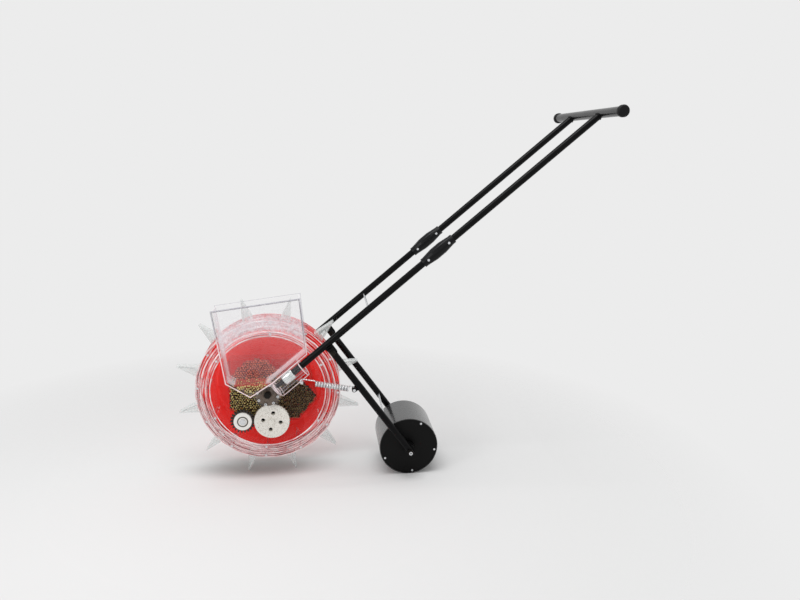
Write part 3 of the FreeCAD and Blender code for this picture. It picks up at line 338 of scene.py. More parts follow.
def clear_edge(name, tint, alpha):
    """A rounded edge of a clear moulding, painted as a dense glossy line in the given tint that fades in and
    out along its length: a pale tint paints a highlight, a dark one shade.
    """
    material, tree, place = new_material(name)
    flow = add_node(tree, "TexNoise", {"Vector": place, "Scale": 1 / (12.0 * mm), "Detail": 2.0})
    end_material(tree, {
        "Base Color": tint,
        "Roughness": 0.15,
        "Alpha": seen_alpha(tree, add_node(tree, "MapRange", {
            "Value": flow, 1: 0.35, 2: 0.6, 3: alpha * 0.55, 4: alpha,
        })),
        "Specular IOR Level": 1.0,
        "Coat Weight": 0.7,
        "Coat Roughness": 0.04,
    })
    return material


def hopper_polystyrene():
    """The hopper's wall is clearest low down; where it stands before the rim it carries a painted glow of
    the rim.
    """
    material, tree, place = new_material("clear polystyrene of the hopper")
    facing = add_node(tree, "LayerWeight", {"Blend": 0.3}).outputs["Facing"]
    graze = add_node(tree, "MapRange", {"Value": facing, 1: 0.35, 2: 0.7, 3: 0.03, 4: 0.6})
    reach = side_distance(tree, place, axle.x + 7 * mm, axle.z + 18 * mm)
    cloud = add_node(tree, "TexNoise", {"Vector": place, "Scale": 1 / (9.0 * mm), "Detail": 3.0})
    density = add_node(tree, "MapRange", {"Value": cloud, 1: 0.35, 2: 0.65, 3: 0.16, 4: 0.44})
    # Painted glow of the rim: between these distances from the axle the wall is paler and denser, where the
    # rim shows through as the studio camera sees it; from other sides the glow does not line up with the rim
    into = add_node(tree, "MapRange", {"Value": reach, 1: 0.158, 2: 0.186, 3: 0.0, 4: 1.0})
    out = add_node(tree, "MapRange", {"Value": reach, 1: 0.204, 2: 0.214, 3: 1.0, 4: 0.1})
    painted_rim_glow = add_node(tree, "Math", {0: into, 1: out}, operation="MULTIPLY")
    rim_glow_and_graze = add_node(tree, "Math", {0: painted_rim_glow, 1: density, 2: graze}, operation="MULTIPLY_ADD")
    end_material(tree, {
        "Base Color": "#f1ecf1",
        "Roughness": 0.06,
        "Alpha": seen_alpha(tree, rim_glow_and_graze),
        "Specular IOR Level": 0.15,
    })
    return material


def hopper_line(name, low_tint, high_tint, low_alpha, high_alpha):
    """An edge of the hopper with painted reflection: pink before the drum, and grey where only the studio is
    behind.
    """
    material, tree, place = new_material(name)
    height = add_node(tree, "SeparateXYZ", {0: place}).outputs["Z"]
    above = add_node(tree, "MapRange", {
        "Value": height, 1: axle.z + 0.165, 2: axle.z + 0.205, 3: 0.0, 4: 1.0,
    })
    flow = add_node(tree, "TexNoise", {"Vector": place, "Scale": 1 / (16.0 * mm), "Detail": 2.0})
    varied = add_node(tree, "MapRange", {"Value": flow, 1: 0.3, 2: 0.55, 3: 0.6, 4: 1.0})
    dense = add_node(tree, "MapRange", {"Value": above, 1: 0.0, 2: 1.0, 3: low_alpha, 4: high_alpha})
    end_material(tree, {
        "Base Color": add_node(tree, "Mix", {0: above, 6: low_tint, 7: high_tint}, data_type="RGBA"),
        "Roughness": 0.2,
        "Alpha": seen_alpha(tree, add_node(tree, "Math", {0: dense, 1: varied}, operation="MULTIPLY")),
        "Specular IOR Level": 0.6,
    })
    return material


def around_axle(tree, place):
    """The distance from the axle, and the direction from it as two numbers that have no seam."""
    offset = add_node(tree, "VectorMath", {0: place, 1: (axle.x, 0, axle.z)}, operation="SUBTRACT")
    flat = add_node(tree, "VectorMath", {0: offset, 1: (1, 0, 1)}, operation="MULTIPLY")
    reach = add_node(tree, "VectorMath", {0: flat}, operation="LENGTH")
    way = add_node(tree, "SeparateXYZ", {0: add_node(tree, "VectorMath", {0: flat}, operation="NORMALIZE")})
    return reach, way.outputs["X"], way.outputs["Z"]


def rim_polystyrene():
    """The clear rim, painted with rings about 3 mm apart: white highlight, red reflection from the plate,
    and shade.
    """
    material, tree, place = new_material("clear polystyrene of the rim")
    reach, across, up = around_axle(tree, place)
    depth = add_node(tree, "SeparateXYZ", {0: place}).outputs["Y"]
    round_scale = 2.2
    scales = (1 / (3.4 * mm), 1 / (16 * mm), round_scale)
    spot = add_node(tree, "CombineXYZ", {0: reach, 1: depth, 2: across})
    rings = add_node(tree, "VectorMath", {0: spot, 1: scales}, operation="MULTIPLY")
    turn = add_node(tree, "Math", {0: up, 1: round_scale}, operation="MULTIPLY")
    streak = add_node(tree, "TexNoise", {"Vector": rings, "W": turn, "Scale": 1.0, "Detail": 2.0},
                      noise_dimensions="4D")
    # Painted light: white rings are painted highlight, red is painted reflection of the plate, dark rings
    # painted shade
    white = add_node(tree, "MapRange", {"Value": streak, 1: 0.58, 2: 0.66, 3: 0.0, 4: 1.0})
    dark = add_node(tree, "MapRange", {"Value": streak, 1: 0.38, 2: 0.45, 3: 0.9, 4: 0.0})
    tint = add_node(tree, "Mix", {0: white, 6: "#bf2a33", 7: "#fdf0f1"}, data_type="RGBA").outputs[2]
    facing = add_node(tree, "LayerWeight", {"Blend": 0.3}).outputs["Facing"]
    graze = add_node(tree, "MapRange", {"Value": facing, 1: 0.3, 2: 0.8, 3: 0.05, 4: 0.3})
    shown = add_node(tree, "Math", {0: white, 1: dark}, operation="MAXIMUM")
    alpha = add_node(tree, "Math", {0: shown, 1: 0.54, 2: graze}, operation="MULTIPLY_ADD")
    end_material(tree, {
        "Base Color": add_node(tree, "Mix", {0: dark, 6: tint, 7: "#5d1518"}, data_type="RGBA"),
        "Roughness": 0.08,
        "Alpha": seen_alpha(tree, alpha),
        "Specular IOR Level": 0.35,
    })
    return material


def rim_bead_polystyrene():
    """The thick end of a moulded ring, painted as a white highlight line that breaks up as it goes round,
    with painted pink reflection of the plate where it dims.
    """
    material, tree, place = new_material("polystyrene bead of the rim")
    reach, across, up = around_axle(tree, place)
    turn = add_node(tree, "CombineXYZ", {
        0: add_node(tree, "Math", {0: reach, 1: 90.0}, operation="MULTIPLY"), 1: across, 2: up,
    })
    gleam = add_node(tree, "TexNoise", {"Vector": turn, "Scale": 6.0, "Detail": 3.0})
    lit = add_node(tree, "MapRange", {"Value": gleam, 1: 0.4, 2: 0.56, 3: 0.0, 4: 1.0})
    alpha = add_node(tree, "MapRange", {"Value": lit, 1: 0.0, 2: 1.0, 3: 0.62, 4: 0.95})
    end_material(tree, {
        "Base Color": add_node(tree, "Mix", {0: lit, 6: "#eda9ad", 7: "#fffafa"}, data_type="RGBA"),
        "Roughness": 0.15,
        "Alpha": seen_alpha(tree, alpha),
        "Specular IOR Level": 1.0,
    })
    return material


# The beaks are tougher and slightly cloudy; the dark lines along their edges are painted shade
beak_wall = clear_wall("clear polycarbonate of a beak", "#d6dad9", 0.25, 0.68, 0.1)
beak_edge = clear_edge("polycarbonate edge of a beak", "#5c6363", 0.95)
# The ring gear is a thin and very clear moulding in front of the red plate; its pink tint is painted red
# light from the plate
gear_wall = clear_wall("clear polystyrene gear", "#e8a9ab", 0.015, 0.12)
# The box has a dark red-brown smoked tint
box_wall = clear_wall("smoked polystyrene box", "#6a3029", 0.05, 0.3)
box_edge = clear_edge("smoked polystyrene edge", "#a5706a", 0.5)
hopper_wall = hopper_polystyrene()
# The hopper's edge lines are painted light: pale highlight lines and a dark shade line, pink low down before
# the drum
hopper_edge = hopper_line("edge of the hopper moulding", "#f9e4e6", "#b8b6c0", 0.8, 0.62)
hopper_bevel = hopper_line("small radius of the hopper moulding", "#eec6c9", "#c3c1ca", 0.22, 0.4)
hopper_shade = hopper_line("shaded edge of the hopper", "#a0666b", "#4f4c58", 0.3, 0.58)
rim_wall = rim_polystyrene()
rim_bead = rim_bead_polystyrene()
print("clear plastics mixed")

# %% [markdown]
# ## Seed
# Dry seed runs from ochre to brown, with a waxy shine, and no two grains match. Voronoi cells a little
# smaller than a grain give each its own shade. Deep in the heap no light gets in, so the grains of the
# deeper layers have a darker material as painted shade, and the gaps between those in front turn nearly
# black.

# %% Mix the seed
def dry_seed(name, light, dark, bank, dome):
    """Grains in mixed shades, with painted light: the bank right of the hub is painted in shade, and the
    dome on top painted red as light from the plate.
    """
    material, tree, place = new_material(name)
    cell = add_node(tree, "TexVoronoi", {"Vector": place, "Scale": 1 / (6.0 * mm)})
    shade = add_node(tree, "SeparateColor", {0: cell.outputs["Color"]})
    mixed = add_node(tree, "Mix", {0: shade.outputs["Red"], 6: dark, 7: light}, data_type="RGBA").outputs[2]
    spot = add_node(tree, "SeparateXYZ", {0: place})
    # Painted shade: grains right of the hub turn towards the bank's dark colour
    right = add_node(tree, "MapRange", {
        "Value": spot.outputs["X"], 1: axle.x + 0.01, 2: axle.x + 0.045, 3: 0.0, 4: 0.8,
    })
    banked = add_node(tree, "Mix", {0: right, 6: mixed, 7: bank}, data_type="RGBA").outputs[2]
    # Painted red light from the plate: grains high on the heap turn towards the dome's colour
    top = add_node(tree, "MapRange", {
        "Value": spot.outputs["Z"], 1: axle.z + 0.026, 2: axle.z + 0.042, 3: 0.0, 4: 0.88,
    })
    end_material(tree, {
        "Base Color": add_node(tree, "Mix", {0: top, 6: banked, 7: dome}, data_type="RGBA"),
        "Roughness": 0.42,
        "Specular IOR Level": 0.35,
    })
    return material


# The deeper layers get a darker copy as painted shade; the heap in the hopper gets a paler copy
seed = dry_seed("dry seed", "#dccb84", "#86733a", "#46301d", "#ea6a56")
deep_seed = dry_seed("dry seed in the shade", "#241808", "#120b03", "#150c06", "#b04a3d")
hopper_seed = dry_seed("dry seed in the hopper", "#efe2ac", "#a08b4e", "#8a7040", "#c9b478")
print("seed mixed")

# %% [markdown]
# ## Give the frame's parts their finishes
# A part whose shape is already right keeps it and only gets a material. The list reads from the handle
# down. Parts that get a rounded copy later are not in it.

# %% Assign the finishes
handle_tilt = math.radians(39.6)
# Distances from the pin: where the dial's teeth begin, the pinion's groove, and where its dark rim begins
dial_plate_radius = 0.0502
groove_inner, groove_outer, pinion_hub_radius = 0.0125, 0.0155, 0.0256

ribbed = ribbed_nylon(handle_tilt)
speckled = speckled_plastic(joint_at["dial_spin"], dial_plate_radius)
two_colour = two_colour_acetal(joint_at["pinion_spin"], groove_inner, groove_outer, pinion_hub_radius)

finishes = {
    tube_paint: ["near_upper_tube", "far_upper_tube", "near_lower_tube", "far_lower_tube",
                 "near_arm", "far_arm"],
    bar_paint: ["handlebar"],
    shell_paint: ["roller_shell"],
    nylon: ["roller_bushes", "tube_stub"],
    oxide: ["axle_nuts", "pivot_bolts", "drum_axle", "roller_nuts"],
    zinc: ["coupler_screws", "tube_stay", "axle_collars", "hub_screws", "arm_stay", "anchor_pin",
           "arm_spring_pin", "roller_axle", "roller_rivets", "drum_screws", "pinion_pin", "hub_bearings"],
    red: ["drum_plate"],
    speckled: ["seed_dial", "dial_pin"],
    two_colour: ["drive_pinion"],
}
for material, names in finishes.items():
    for name in names:
        nodes[name].data.materials.clear()
        nodes[name].data.materials.append(material)
print(sum(len(names) for names in finishes.values()), "parts keep their shape")


# %% [markdown]
# ## Rounded copies
# No moulded, cast or turned edge is truly sharp. Its small radius gathers light, and in clear plastic that
# line is what the eye sees first. So each such part is copied, its loose triangles are merged, its flat
# faces joined, and every sharp edge is bevelled. On clear parts the bevel gets the denser edge material,
# which paints that line in.

# %% Helpers for pieces
# Vertices closer than these are one: in the frame's parts, and in a bead that closes on itself
frame_merge, bead_merge = 2e-6, 1e-6
# Faces within the first angle are one flat, an edge over the second is bevelled, and shading breaks at
# the third
flat_angle, sharp_angle, crease_angle = math.radians(0.6), math.radians(28), math.radians(35)


def as_piece(name, mesh, materials, body=None, smooth=True):
    """Makes an object of a bmesh, gives it its finishes and lets it ride on a body, if one is named."""
    data = bpy.data.meshes.new(name)
    mesh.to_mesh(data)
    mesh.free()
    for material in materials:
        data.materials.append(material)
    if smooth:
        data.shade_smooth()
    piece = bpy.data.objects.new(name, data)
    bpy.context.scene.collection.objects.link(piece)
    if body:
        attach(piece, body)
    return piece


def middle_of(node):
    """The middle of a frame part's box."""
    low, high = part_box(node)
    return (Vector(low) + Vector(high)) / 2


def merged_copy(node):
    """A bmesh of a frame part with its triangles merged and its flat faces joined."""
    mesh = bmesh.new()
    mesh.from_mesh(nodes[node].data)
    bmesh.ops.remove_doubles(mesh, verts=mesh.verts, dist=frame_merge)
    bmesh.ops.dissolve_limit(mesh, angle_limit=flat_angle, verts=mesh.verts, edges=mesh.edges)
    return mesh


def rounded_copy(node, body, width_mm, materials):
    """Replaces a frame part by a copy whose sharp edges are bevelled; the bevels take the last material."""
    mesh = merged_copy(node)
    sharp = [e for e in mesh.edges if e.is_manifold and e.calc_face_angle() > sharp_angle]
    for face in mesh.faces:
        face.smooth = True
    made = bmesh.ops.bevel(
        mesh, geom=sharp, offset=width_mm * mm, offset_type="OFFSET", segments=2, profile=0.5,
        affect="EDGES", clamp_overlap=True, material=-1,
    )
    for face in made["faces"]:
        face.material_index = len(materials) - 1
    bmesh.ops.triangulate(mesh, faces=[face for face in mesh.faces if len(face.verts) > 4])
    piece = as_piece(node + "_rounded", mesh, materials, body, smooth=False)
    piece.data.set_sharp_from_angle(angle=crease_angle)
    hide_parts(node)
    return piece


# %% Round the clear and the solid parts
rounded = [
    ("hopper", "frame", 1.1, [hopper_wall, gear_wall, hopper_bevel]),
    ("seed_box", "frame", 0.9, [box_wall, box_edge]),
    ("front_cover", "drum", 1.1, [rim_wall, rim_bead]),
    ("drum_rim", "drum", 0.9, [rim_wall, rim_bead]),
    ("ring_gear", "drum", 0.25, [gear_wall]),
    ("beak_bodies", "drum", 0.8, [beak_wall, beak_edge]),
    ("handlebar_knobs", "frame", 1.6, [pvc]),
    ("near_coupler_front_half", "frame", 0.8, [ribbed]),
    ("near_coupler_back_half", "frame", 0.8, [ribbed]),
    ("far_coupler_front_half", "frame", 0.8, [ribbed]),
    ("far_coupler_back_half", "frame", 0.8, [ribbed]),
    ("tube_sleeve", "frame", 0.5, [chrome]),
    ("hub_flange", "frame", 0.6, [casting]),
    ("roller_near_disc", "roller", 0.5, [disc_paint]),
    ("roller_far_disc", "roller", 0.5, [disc_paint]),
]
for number in range(1, 13):
    rounded.append(("beak_flap_%02d" % number, "flap_%02d" % number, 0.7, [beak_wall, beak_edge]))
made_of = {}
for node, body, width, materials in rounded:
    made_of[node] = rounded_copy(node, body, width, materials)
    print(node, len(made_of[node].data.polygons), "faces")

# %% [markdown]
# The seed spout joins the hopper to the box. It stands in the middle of the seed, where hardly any light
# reaches it, so its faces get the clearest material. They are picked by their distance from its axis.

# %% Clear the spout
spout_axis = Vector((axle.x - 40 * mm, 0, axle.z + 52 * mm))
spout_near_y, spout_reach = -0.054, 0.0235
spout_faces = 0
for face in made_of["hopper"].data.polygons:
    arm = face.center - spout_axis
    if face.center.y > spout_near_y and math.hypot(arm.x, arm.z) < spout_reach:
        face.material_index = 1
        spout_faces += 1
print(spout_faces, "faces of the spout")

# %% [markdown]
# ## Lines of light on the hopper
# The open hopper has a thickened lip all round each side wall, and its tube socket has a rolled mouth and
# a parting line. They show as pairs of painted lines: a pale one of painted highlight where light leaves the
# edge, and a dark one of painted shade beside it. A line is one small ring of vertices, extruded from corner
# to corner and mitred at each.

# %% Sweep the lips
def swept_bead(mesh, corners, radius, closed=True, sides=8, inset=0.0):
    """A round bead along corners in a plane across Y, moved inwards from them and mitred at each one."""
    count = len(corners)
    frames = []
    for k, corner in enumerate(corners):
        after = corners[(k + 1) % count] - corner if closed or k < count - 1 else corner - corners[k - 1]
        before = corner - corners[k - 1] if closed or k else after
        way_in, way_out = before.normalized(), after.normalized()
        tangent = (way_in + way_out).normalized()
        stretch = 1 / tangent.dot(way_out)
        side = tangent.cross(Vector((0, 1, 0))) * stretch
        frame_here = Matrix((side * radius, Vector((0, radius, 0)), tangent * radius)).transposed().to_4x4()
        frames.append(Matrix.Translation(corner + side * inset) @ frame_here)
    ring = bmesh.ops.create_circle(mesh, cap_ends=False, segments=sides, radius=1.0)["verts"]
    bmesh.ops.transform(mesh, matrix=frames[0], verts=ring)
    first = last = list({edge for vert in ring for edge in vert.link_edges})
    for k in range(1, count):
        made = bmesh.ops.extrude_edge_only(mesh, edges=last)["geom"]
        last = [item for item in made if isinstance(item, bmesh.types.BMEdge)
                and all(vert in made for vert in item.verts) and len(item.link_faces) == 1]
        moved = list({vert for edge in last for vert in edge.verts})
        bmesh.ops.transform(mesh, matrix=frames[k] @ frames[k - 1].inverted(), verts=moved)
    if closed:
        bmesh.ops.bridge_loops(mesh, edges=first + last)
    else:
        bmesh.ops.holes_fill(mesh, edges=first + last)


hopper_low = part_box("hopper")[0]
hopper_far_y = -0.050
# The side wall's corners, in millimetres from the axle
lip_corners = [(-133, 254), (97, 283), (111, 132.3), (18.6, 55.9), (-42, 17), (-104, 56)]
tube_way = Vector((math.cos(handle_tilt), 0, math.sin(handle_tilt)))
tube_side = Vector((-math.sin(handle_tilt), 0, math.cos(handle_tilt)))
tube_half_spacing = 0.1065
tube_y = -tube_half_spacing
socket_radius = 0.024


def lip_at(y):
    """The side wall's corners at one depth."""
    return [Vector((axle.x + x * mm, y, axle.z + z * mm)) for x, z in lip_corners]


def socket_line(t_mm, side):
    """A point on the socket's outside, by the distance along the tube from the axle."""
    return Vector((axle.x, tube_y, axle.z)) + tube_way * t_mm * mm + tube_side * side * socket_radius


lips = bmesh.new()
swept_bead(lips, lip_at(hopper_low.y + 1.2 * mm), 1.5 * mm, inset=2.2 * mm)
swept_bead(lips, lip_at(hopper_far_y - 1.2 * mm), 0.5 * mm, inset=1.8 * mm)
for side in (-1, 1):
    ends = [socket_line(44, side), socket_line(134, side)]
    swept_bead(lips, ends, 1.2 * mm, closed=False, inset=side * -0.6 * mm)
bmesh.ops.recalc_face_normals(lips, faces=lips.faces)
hopper_lips = as_piece("hopper_lips", lips, [hopper_edge], "frame")

# A dark bead beside the near lip: painted shade
shades = bmesh.new()
swept_bead(shades, lip_at(hopper_low.y + 1.0 * mm), 0.65 * mm, inset=-0.2 * mm)
bmesh.ops.recalc_face_normals(shades, faces=shades.faces)
hopper_lip_shades = as_piece("hopper_lip_shades", shades, [hopper_shade], "frame")
print("lips", len(hopper_lips.data.polygons) + len(hopper_lip_shades.data.polygons), "faces")

# %% [markdown]
# ## White lines on the drum
# The front ring of the drum is stepped, and each step ends in a thicker bead whose white line is painted
# highlight. A bead is a small hexagon spun once round the axle. The mouth of the tube socket is a bead of
# the same kind, spun round the tube.

# %% Spin the beads
def ring_bead(mesh, centre, axis, arm, thickness, sides=6, steps=160):
    """A closed bead: a small polygon at the end of an arm, spun about an axis through the centre."""
    across = axis.cross(arm).normalized()
    section = bmesh.ops.create_circle(mesh, cap_ends=False, segments=sides, radius=thickness / 2)["verts"]
    stand = Matrix((arm.normalized(), axis, across)).transposed().to_4x4()
    bmesh.ops.transform(mesh, matrix=Matrix.Translation(centre + arm) @ stand, verts=section)
    edges = list({edge for vert in section for edge in vert.link_edges})
    bmesh.ops.spin(
        mesh, geom=section + edges, cent=centre, axis=axis, dvec=(0, 0, 0), angle=2 * math.pi,
        steps=steps, use_merge=True,
    )


y_axis = Vector((0, 1, 0))
cover_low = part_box("front_cover")[0]
beads = bmesh.new()
# Radius in metres; then, in millimetres, how far the step lies behind the front, and the thickness
for radius, depth, thickness in (
    (0.1628, 0.0, 3.0), (0.1690, 0.0, 1.1), (0.1757, 0.0, 1.8), (0.1835, 4.5, 0.9), (0.1903, 4.5, 1.8),
    (0.1970, 9.0, 0.9), (0.2036, 9.0, 2.2),
):
    centre = Vector((axle.x, cover_low.y + (depth + thickness / 2) * mm, axle.z))
    ring_bead(beads, centre, y_axis, Vector((radius, 0, 0)), thickness * mm)
bmesh.ops.remove_doubles(beads, verts=beads.verts, dist=bead_merge)
bmesh.ops.recalc_face_normals(beads, faces=beads.faces)
drum_beads = as_piece("drum_beads", beads, [rim_bead], "drum")

mouth = bmesh.new()
# Millimetres along the tube from the axle, radius in metres, thickness in millimetres
for t_mm, radius, thickness in (
    (133.5, socket_radius, 2.6), (43.0, socket_radius, 2.0), (37.5, 0.0185, 1.8),
):
    centre = Vector((axle.x, tube_y, axle.z)) + tube_way * t_mm * mm
    ring_bead(mouth, centre, tube_way, tube_side * (radius - 0.6 * mm), thickness * mm, steps=48)
bmesh.ops.remove_doubles(mouth, verts=mouth.verts, dist=bead_merge)
bmesh.ops.recalc_face_normals(mouth, faces=mouth.faces)
socket_beads = as_piece("socket_beads", mouth, [hopper_edge], "frame")
print("drum beads", len(drum_beads.data.polygons), "faces")
print("socket beads", len(socket_beads.data.polygons), "faces")

# %% [markdown]
# ## Floors of the dial's cells
# Each of the four holes in the dial is a cell that one portion of seed falls into. Its floor lies in the
# dark, so a black disc stands in each cell as painted shade. Its middle is inset and pushed back, so that
# it reads as a shallow cup.

# %% Set the cell floors
dial_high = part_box("seed_dial")[1]
dial_centre = joint_at["dial_spin"]
cups = bmesh.new()
cell_ring_radius = 0.0245
cell_start = math.radians(80)
cup_radius, cup_rim, cup_depth = 6.3 * mm, 1.5 * mm, 0.6 * mm
for number in range(4):
    angle = cell_start + number * math.pi / 2
    spot = Vector((dial_centre.x + cell_ring_radius * math.cos(angle), dial_high.y - 1.0 * mm,
                   dial_centre.z + cell_ring_radius * math.sin(angle)))
    stand = Matrix.Translation(spot) @ Matrix.Rotation(math.pi / 2, 4, "X")
    bmesh.ops.create_circle(cups, cap_ends=True, segments=24, radius=cup_radius, matrix=stand)
rims = bmesh.ops.inset_individual(cups, faces=cups.faces[:], thickness=cup_rim)["faces"]
floors = [face for face in cups.faces if face not in rims]
sunk = list({vert for face in floors for vert in face.verts})
bmesh.ops.translate(cups, vec=(0, cup_depth, 0), verts=sunk)
dial_cell_shade_floors = as_piece("dial_cell_shade_floors", cups, [pvc], "dial")
print("cell floors", len(dial_cell_shade_floors.data.polygons), "faces")

# %% [markdown]
# ## Sockets in the screw heads
# The hub is held by socket screws, and the roller's axle shows a dark middle too. Each gets a six-sided
# recess, painted dark as the shade inside it. The heads are found as the loose shells of the frame's own
# part, so that a recess sits on every one of them.

# %% Sink the sockets
recess_lift, recess_rim, recess_depth = 0.03 * mm, 0.3 * mm, 0.02 * mm


def shell_boxes(node):
    """The lowest and highest corners of every loose shell in a frame part."""
    mesh = merged_copy(node)
    left, found = set(mesh.verts), []
    while left:
        wave = [left.pop()]
        shell = list(wave)
        while wave:
            near = {edge.other_vert(vert) for vert in wave for edge in vert.link_edges} & left
            left -= near
            wave = list(near)
            shell += wave
        found.append(tuple(
            Vector([pick(vert.co[k] for vert in shell) for k in range(3)]) for pick in (min, max)
        ))
    mesh.free()
    return found


def sockets(name, node, body, share):
    """A six-sided recess painted dark as shade, on the near side of each shell, with a share of the shell's
    width.
    """
    mesh = bmesh.new()
    for low, high in shell_boxes(node):
        spot = Vector(((low.x + high.x) / 2, low.y - recess_lift, (low.z + high.z) / 2))
        stand = Matrix.Translation(spot) @ Matrix.Rotation(math.pi / 2, 4, "X")
        radius = share * (high.x - low.x) / 2
        bmesh.ops.create_circle(mesh, cap_ends=True, segments=6, radius=radius, matrix=stand)
    rims = bmesh.ops.inset_individual(mesh, faces=mesh.faces[:], thickness=recess_rim)["faces"]
    floors = [face for face in mesh.faces if face not in rims]
    sunk = list({vert for face in floors for vert in face.verts})
    bmesh.ops.translate(mesh, vec=(0, recess_depth, 0), verts=sunk)
    print(name, len(floors))
    as_piece(name, mesh, [oxide], body, smooth=False)


sockets("hub_screw_sockets", "hub_screws", "frame", 0.4)
sockets("roller_axle_centre", "roller_axle", "arm", 0.5)

# %% [markdown]
# ## Weld beads
# The upper tubes are welded to the cross bar. A weld is a rope of small overlapping pools: a ring round the
# tube's end whose thickness swells and sinks along its length.

# %% Lay the welds
weld_radius, weld_thickness, weld_pools, weld_swell = 9.6 * mm, 3.0 * mm, 14, 0.22


def weld_ring(mesh, centre, axis, radius, thickness, pools):
    """A ring of weld round a tube, with a swelling for each pool."""
    across = axis.cross(y_axis).normalized()
    start = len(mesh.verts)
    ring_bead(mesh, centre, axis, across * radius, thickness, sides=8, steps=pools * 6)
    mesh.verts.ensure_lookup_table()
    for vert in mesh.verts[start:]:
        arm = vert.co - centre
        flat = arm - axis * arm.dot(axis)
        core = centre + flat.normalized() * radius
        turn = math.atan2(flat.dot(y_axis), flat.dot(across))
        vert.co = core + (vert.co - core) * (1 + weld_swell * abs(math.sin(turn * pools / 2)))


bar_low, bar_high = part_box("handlebar")
bar_middle = middle_of("handlebar")
bar_radius = (bar_high.z - bar_low.z) / 2
welds = bmesh.new()
for side in (-1, 1):
    on_bar = Vector((bar_middle.x, side * tube_half_spacing, bar_middle.z))
    end = on_bar - tube_way * (bar_radius + 0.4 * mm)
    weld_ring(welds, end, tube_way, weld_radius, weld_thickness, weld_pools)
bmesh.ops.remove_doubles(welds, verts=welds.verts, dist=bead_merge)
bmesh.ops.recalc_face_normals(welds, faces=welds.faces)
handle_welds = as_piece("handle_welds", welds, [tube_paint], "frame")
print("welds", len(handle_welds.data.polygons), "faces")

# %% [markdown]
# ## The press spring
# The wound spring keeps the frame's shape. It is copied, and its painted coil bands run along the line
# from the hopper's pin to the pin on the roller arm.

# %% Copy the spring and lay its bands between both pins
upper_pin, lower_pin = middle_of("anchor_pin"), middle_of("arm_spring_pin")
spring_mesh = bmesh.new()
spring_mesh.from_mesh(nodes["press_spring"].data)
bmesh.ops.remove_doubles(spring_mesh, verts=spring_mesh.verts, dist=frame_merge)
shade_pitch_mm = 7.4
spring = as_piece("wound_spring", spring_mesh, [spring_wire(upper_pin, lower_pin, shade_pitch_mm)])
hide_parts("press_spring")
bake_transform(spring)
print("spring of", round((lower_pin - upper_pin).length / mm), "mm from pin to pin")

# %% [markdown]
# ## The seed
# The box and the foot of the hopper are full of loose seed. Small rounded grains are set out in rows with
# a seeded random shift. Only the layers that show are made: those against the walls and those on top of
# the heap. Each grain is a 20-sided ball squeezed to a bean.

# %% Fill the box and the hopper with seed
grain_size, box_spacing, hopper_spacing = 0.0058, 0.0068, 0.0064
# How far a grain strays and a row rises, in spacings, and how much larger the deep grains are
stray, row_rise, deep_growth = 0.22, 0.86, 1.75


def inside(outline, x, z):
    """True where a point is within a closed outline of (x, z) corners."""
    hit = False
    for k, (bx, bz) in enumerate(outline):
        ax, az = outline[k - 1]
        if (az > z) != (bz > z) and x < (bx - ax) * (z - az) / (bz - az) + ax:
            hit = not hit
    return hit


def heap_of_seed(mesh, outline, near_y, far_y, spacing, chance, layers, deep_layers, front=0):
    """Rows of grains within an outline, layer by layer from the near face; deep layers are darker."""
    xs = [x for x, z in outline]
    zs = [z for x, z in outline]
    count = 0
    for layer in range(layers):
        y = near_y + layer * spacing
        if y > far_y:
            break
        z = min(zs)
        row = 0
        while z < max(zs):
            x = min(xs) + (row % 2) * spacing / 2
            while x < max(xs):
                px = x + chance.uniform(-stray, stray) * spacing
                pz = z + chance.uniform(-stray, stray) * spacing
                if inside(outline, px, pz):
                    growth = deep_growth if layer in deep_layers else 1.0
                    size = grain_size * chance.uniform(0.85, 1.15) * growth
                    place = Matrix.Translation((px, y + chance.uniform(0, 0.3) * spacing, pz))
                    axis = Vector((1, chance.random(), 0.3)).normalized()
                    turn = Matrix.Rotation(chance.uniform(0, math.pi), 4, axis)
                    shape = Matrix.Diagonal((size, size * 0.85, size * 0.72, 1))
                    made = bmesh.ops.create_icosphere(
                        mesh, subdivisions=1, radius=0.5, matrix=place @ turn @ shape,
                    )["verts"]
                    for face in {face for vert in made for face in vert.link_faces}:
                        face.material_index = 1 if layer in deep_layers else front
                    count += 1
                x += spacing
            z += spacing * row_rise
            row += 1
    return count


box_low, box_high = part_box("seed_box")
# Both heaps in millimetres from the axle; the one in the box has two sloped banks that meet at a crest
box_heap = [
    (-109, 28), (-88, 61), (-57, 84), (-30, 90), (-5, 85), (17, 62), (60, 30), (103, 12), (133, -30),
    (82, -90), (-27, -99), (-109, -56),
]
hopper_heap = [(-87, 46), (14, 46), (-40, 22)]


def from_axle(outline):
    """An outline in millimetres from the axle, as places in metres."""
    return [(axle.x + x * mm, axle.z + z * mm) for x, z in outline]


chance = random.Random(12)
grains = bmesh.new()
# The middles of the first and the last layer lie clear of the walls
box_near_y, box_far_y = box_low.y + 0.0058, box_high.y - 0.006
heap_near_y, heap_far_y = hopper_low.y + 0.0055, hopper_low.y + 0.0645
grain_count = heap_of_seed(
    grains, from_axle(box_heap), box_near_y, box_far_y, box_spacing, chance, 3, range(1, 3),
)
grain_count += heap_of_seed(
    grains, from_axle(hopper_heap), heap_near_y, heap_far_y, hopper_spacing, chance, 12, range(1, 12, 2),
    front=2,
)
print(grain_count, "grains")
seed_grains = as_piece("seed_grains", grains, [seed, deep_seed, hopper_seed], "frame")
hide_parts("seed_charge")

# %% [markdown]
# ## The floor and the light
# A photograph for a catalogue is taken on a pale sweep: no horizon shows. Here a disc of floor fades out
# before its edge, and the world behind it has the same pale grey. Mirrors and clear parts see that grey
# too. The clear drum throws hardly any shadow of its own, so a painted shadow darkens the floor right under
# it, where a real floor gets the least light.

# %% Floor, world and lamps
backdrop_colour = "#ececec"
shadow_place = Vector((-0.035, 0.02, 0.0))
shadow_size = Vector((0.26, 0.09, 1.0))


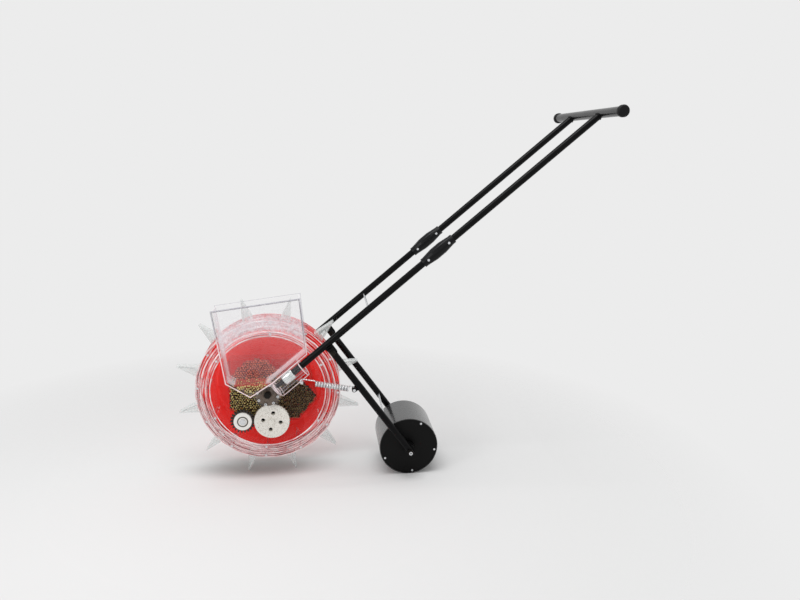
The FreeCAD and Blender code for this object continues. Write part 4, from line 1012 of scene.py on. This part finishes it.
def studio_floor():
    """A matte floor that takes shadows, darkens under the drum as a painted shadow, and melts into the
    backdrop.
    """
    material, tree, place = new_material("studio floor")
    reach = add_node(tree, "VectorMath", {0: place}, operation="LENGTH")
    offset = add_node(tree, "VectorMath", {0: place, 1: shadow_place}, operation="SUBTRACT")
    scaled = add_node(tree, "VectorMath", {0: offset, 1: shadow_size}, operation="DIVIDE")
    away = add_node(tree, "VectorMath", {0: scaled}, operation="LENGTH")
    # Painted shadow: the floor darkens towards the middle of an ellipse under the drum
    under = add_node(tree, "MapRange", {"Value": away, 1: 0.1, 2: 1.15, 3: 0.6, 4: 0.0},
                     interpolation_type="SMOOTHERSTEP")
    end_material(tree, {
        "Base Color": add_node(tree, "Mix", {0: under, 6: "#e2e2e2", 7: "#5c5c58"}, data_type="RGBA"),
        "Roughness": 1.0,
        "Specular IOR Level": 0.0,
        "Alpha": add_node(tree, "MapRange", {"Value": reach, 1: 0.62, 2: 1.4, 3: 1.0, 4: 0.0}),
    })
    return material


floor_radius = 2.0
floor_mesh = bmesh.new()
bmesh.ops.create_circle(floor_mesh, cap_ends=True, segments=64, radius=floor_radius)
bmesh.ops.translate(floor_mesh, vec=(0, 0, -0.5 * mm), verts=floor_mesh.verts)
floor = as_piece("studio_floor", floor_mesh, [studio_floor()])

world = bpy.data.worlds.new("studio")
bpy.context.scene.world = world
world.use_nodes = True
sky = world.node_tree
sky.nodes.clear()
rays = add_node(sky, "LightPath")
clear = add_node(sky, "Math", {
    0: rays.outputs["Is Camera Ray"], 1: rays.outputs["Is Transmission Ray"],
}, operation="MAXIMUM")
seen = add_node(sky, "Math", {0: clear, 1: rays.outputs["Is Glossy Ray"]}, operation="MAXIMUM")
backdrop = add_node(sky, "Background", {"Color": backdrop_colour, "Strength": 1.0})
ambient = add_node(sky, "Background", {"Color": "#ffffff", "Strength": 0.62})
add_node(sky, "OutputWorld", {"Surface": add_node(sky, "MixShader", {0: seen, 1: ambient, 2: backdrop})})


def add_lamp(name, place, aim, width, power):
    """A soft rectangular lamp at a place, turned to its aim."""
    data = bpy.data.lights.new(name, "AREA")
    data.shape = "RECTANGLE"
    data.size = width
    data.size_y = width * 0.6
    data.energy = power
    lamp = bpy.data.objects.new(name, data)
    lamp.location = place
    lamp.rotation_euler = (Vector(aim) - Vector(place)).to_track_quat("-Z", "Y").to_euler()
    bpy.context.scene.collection.objects.link(lamp)


add_lamp("top_softbox", (0.1, -0.4, 2.6), (0.1, 0, 0.3), 1.8, 32)
add_lamp("side_softbox", (-1.8, -1.7, 1.6), (0.1, 0, 0.4), 1.1, 14)

scene = bpy.context.scene
scene.view_settings.view_transform = "Standard"
scene.cycles.transparent_max_bounces = 48
print("stage ready")
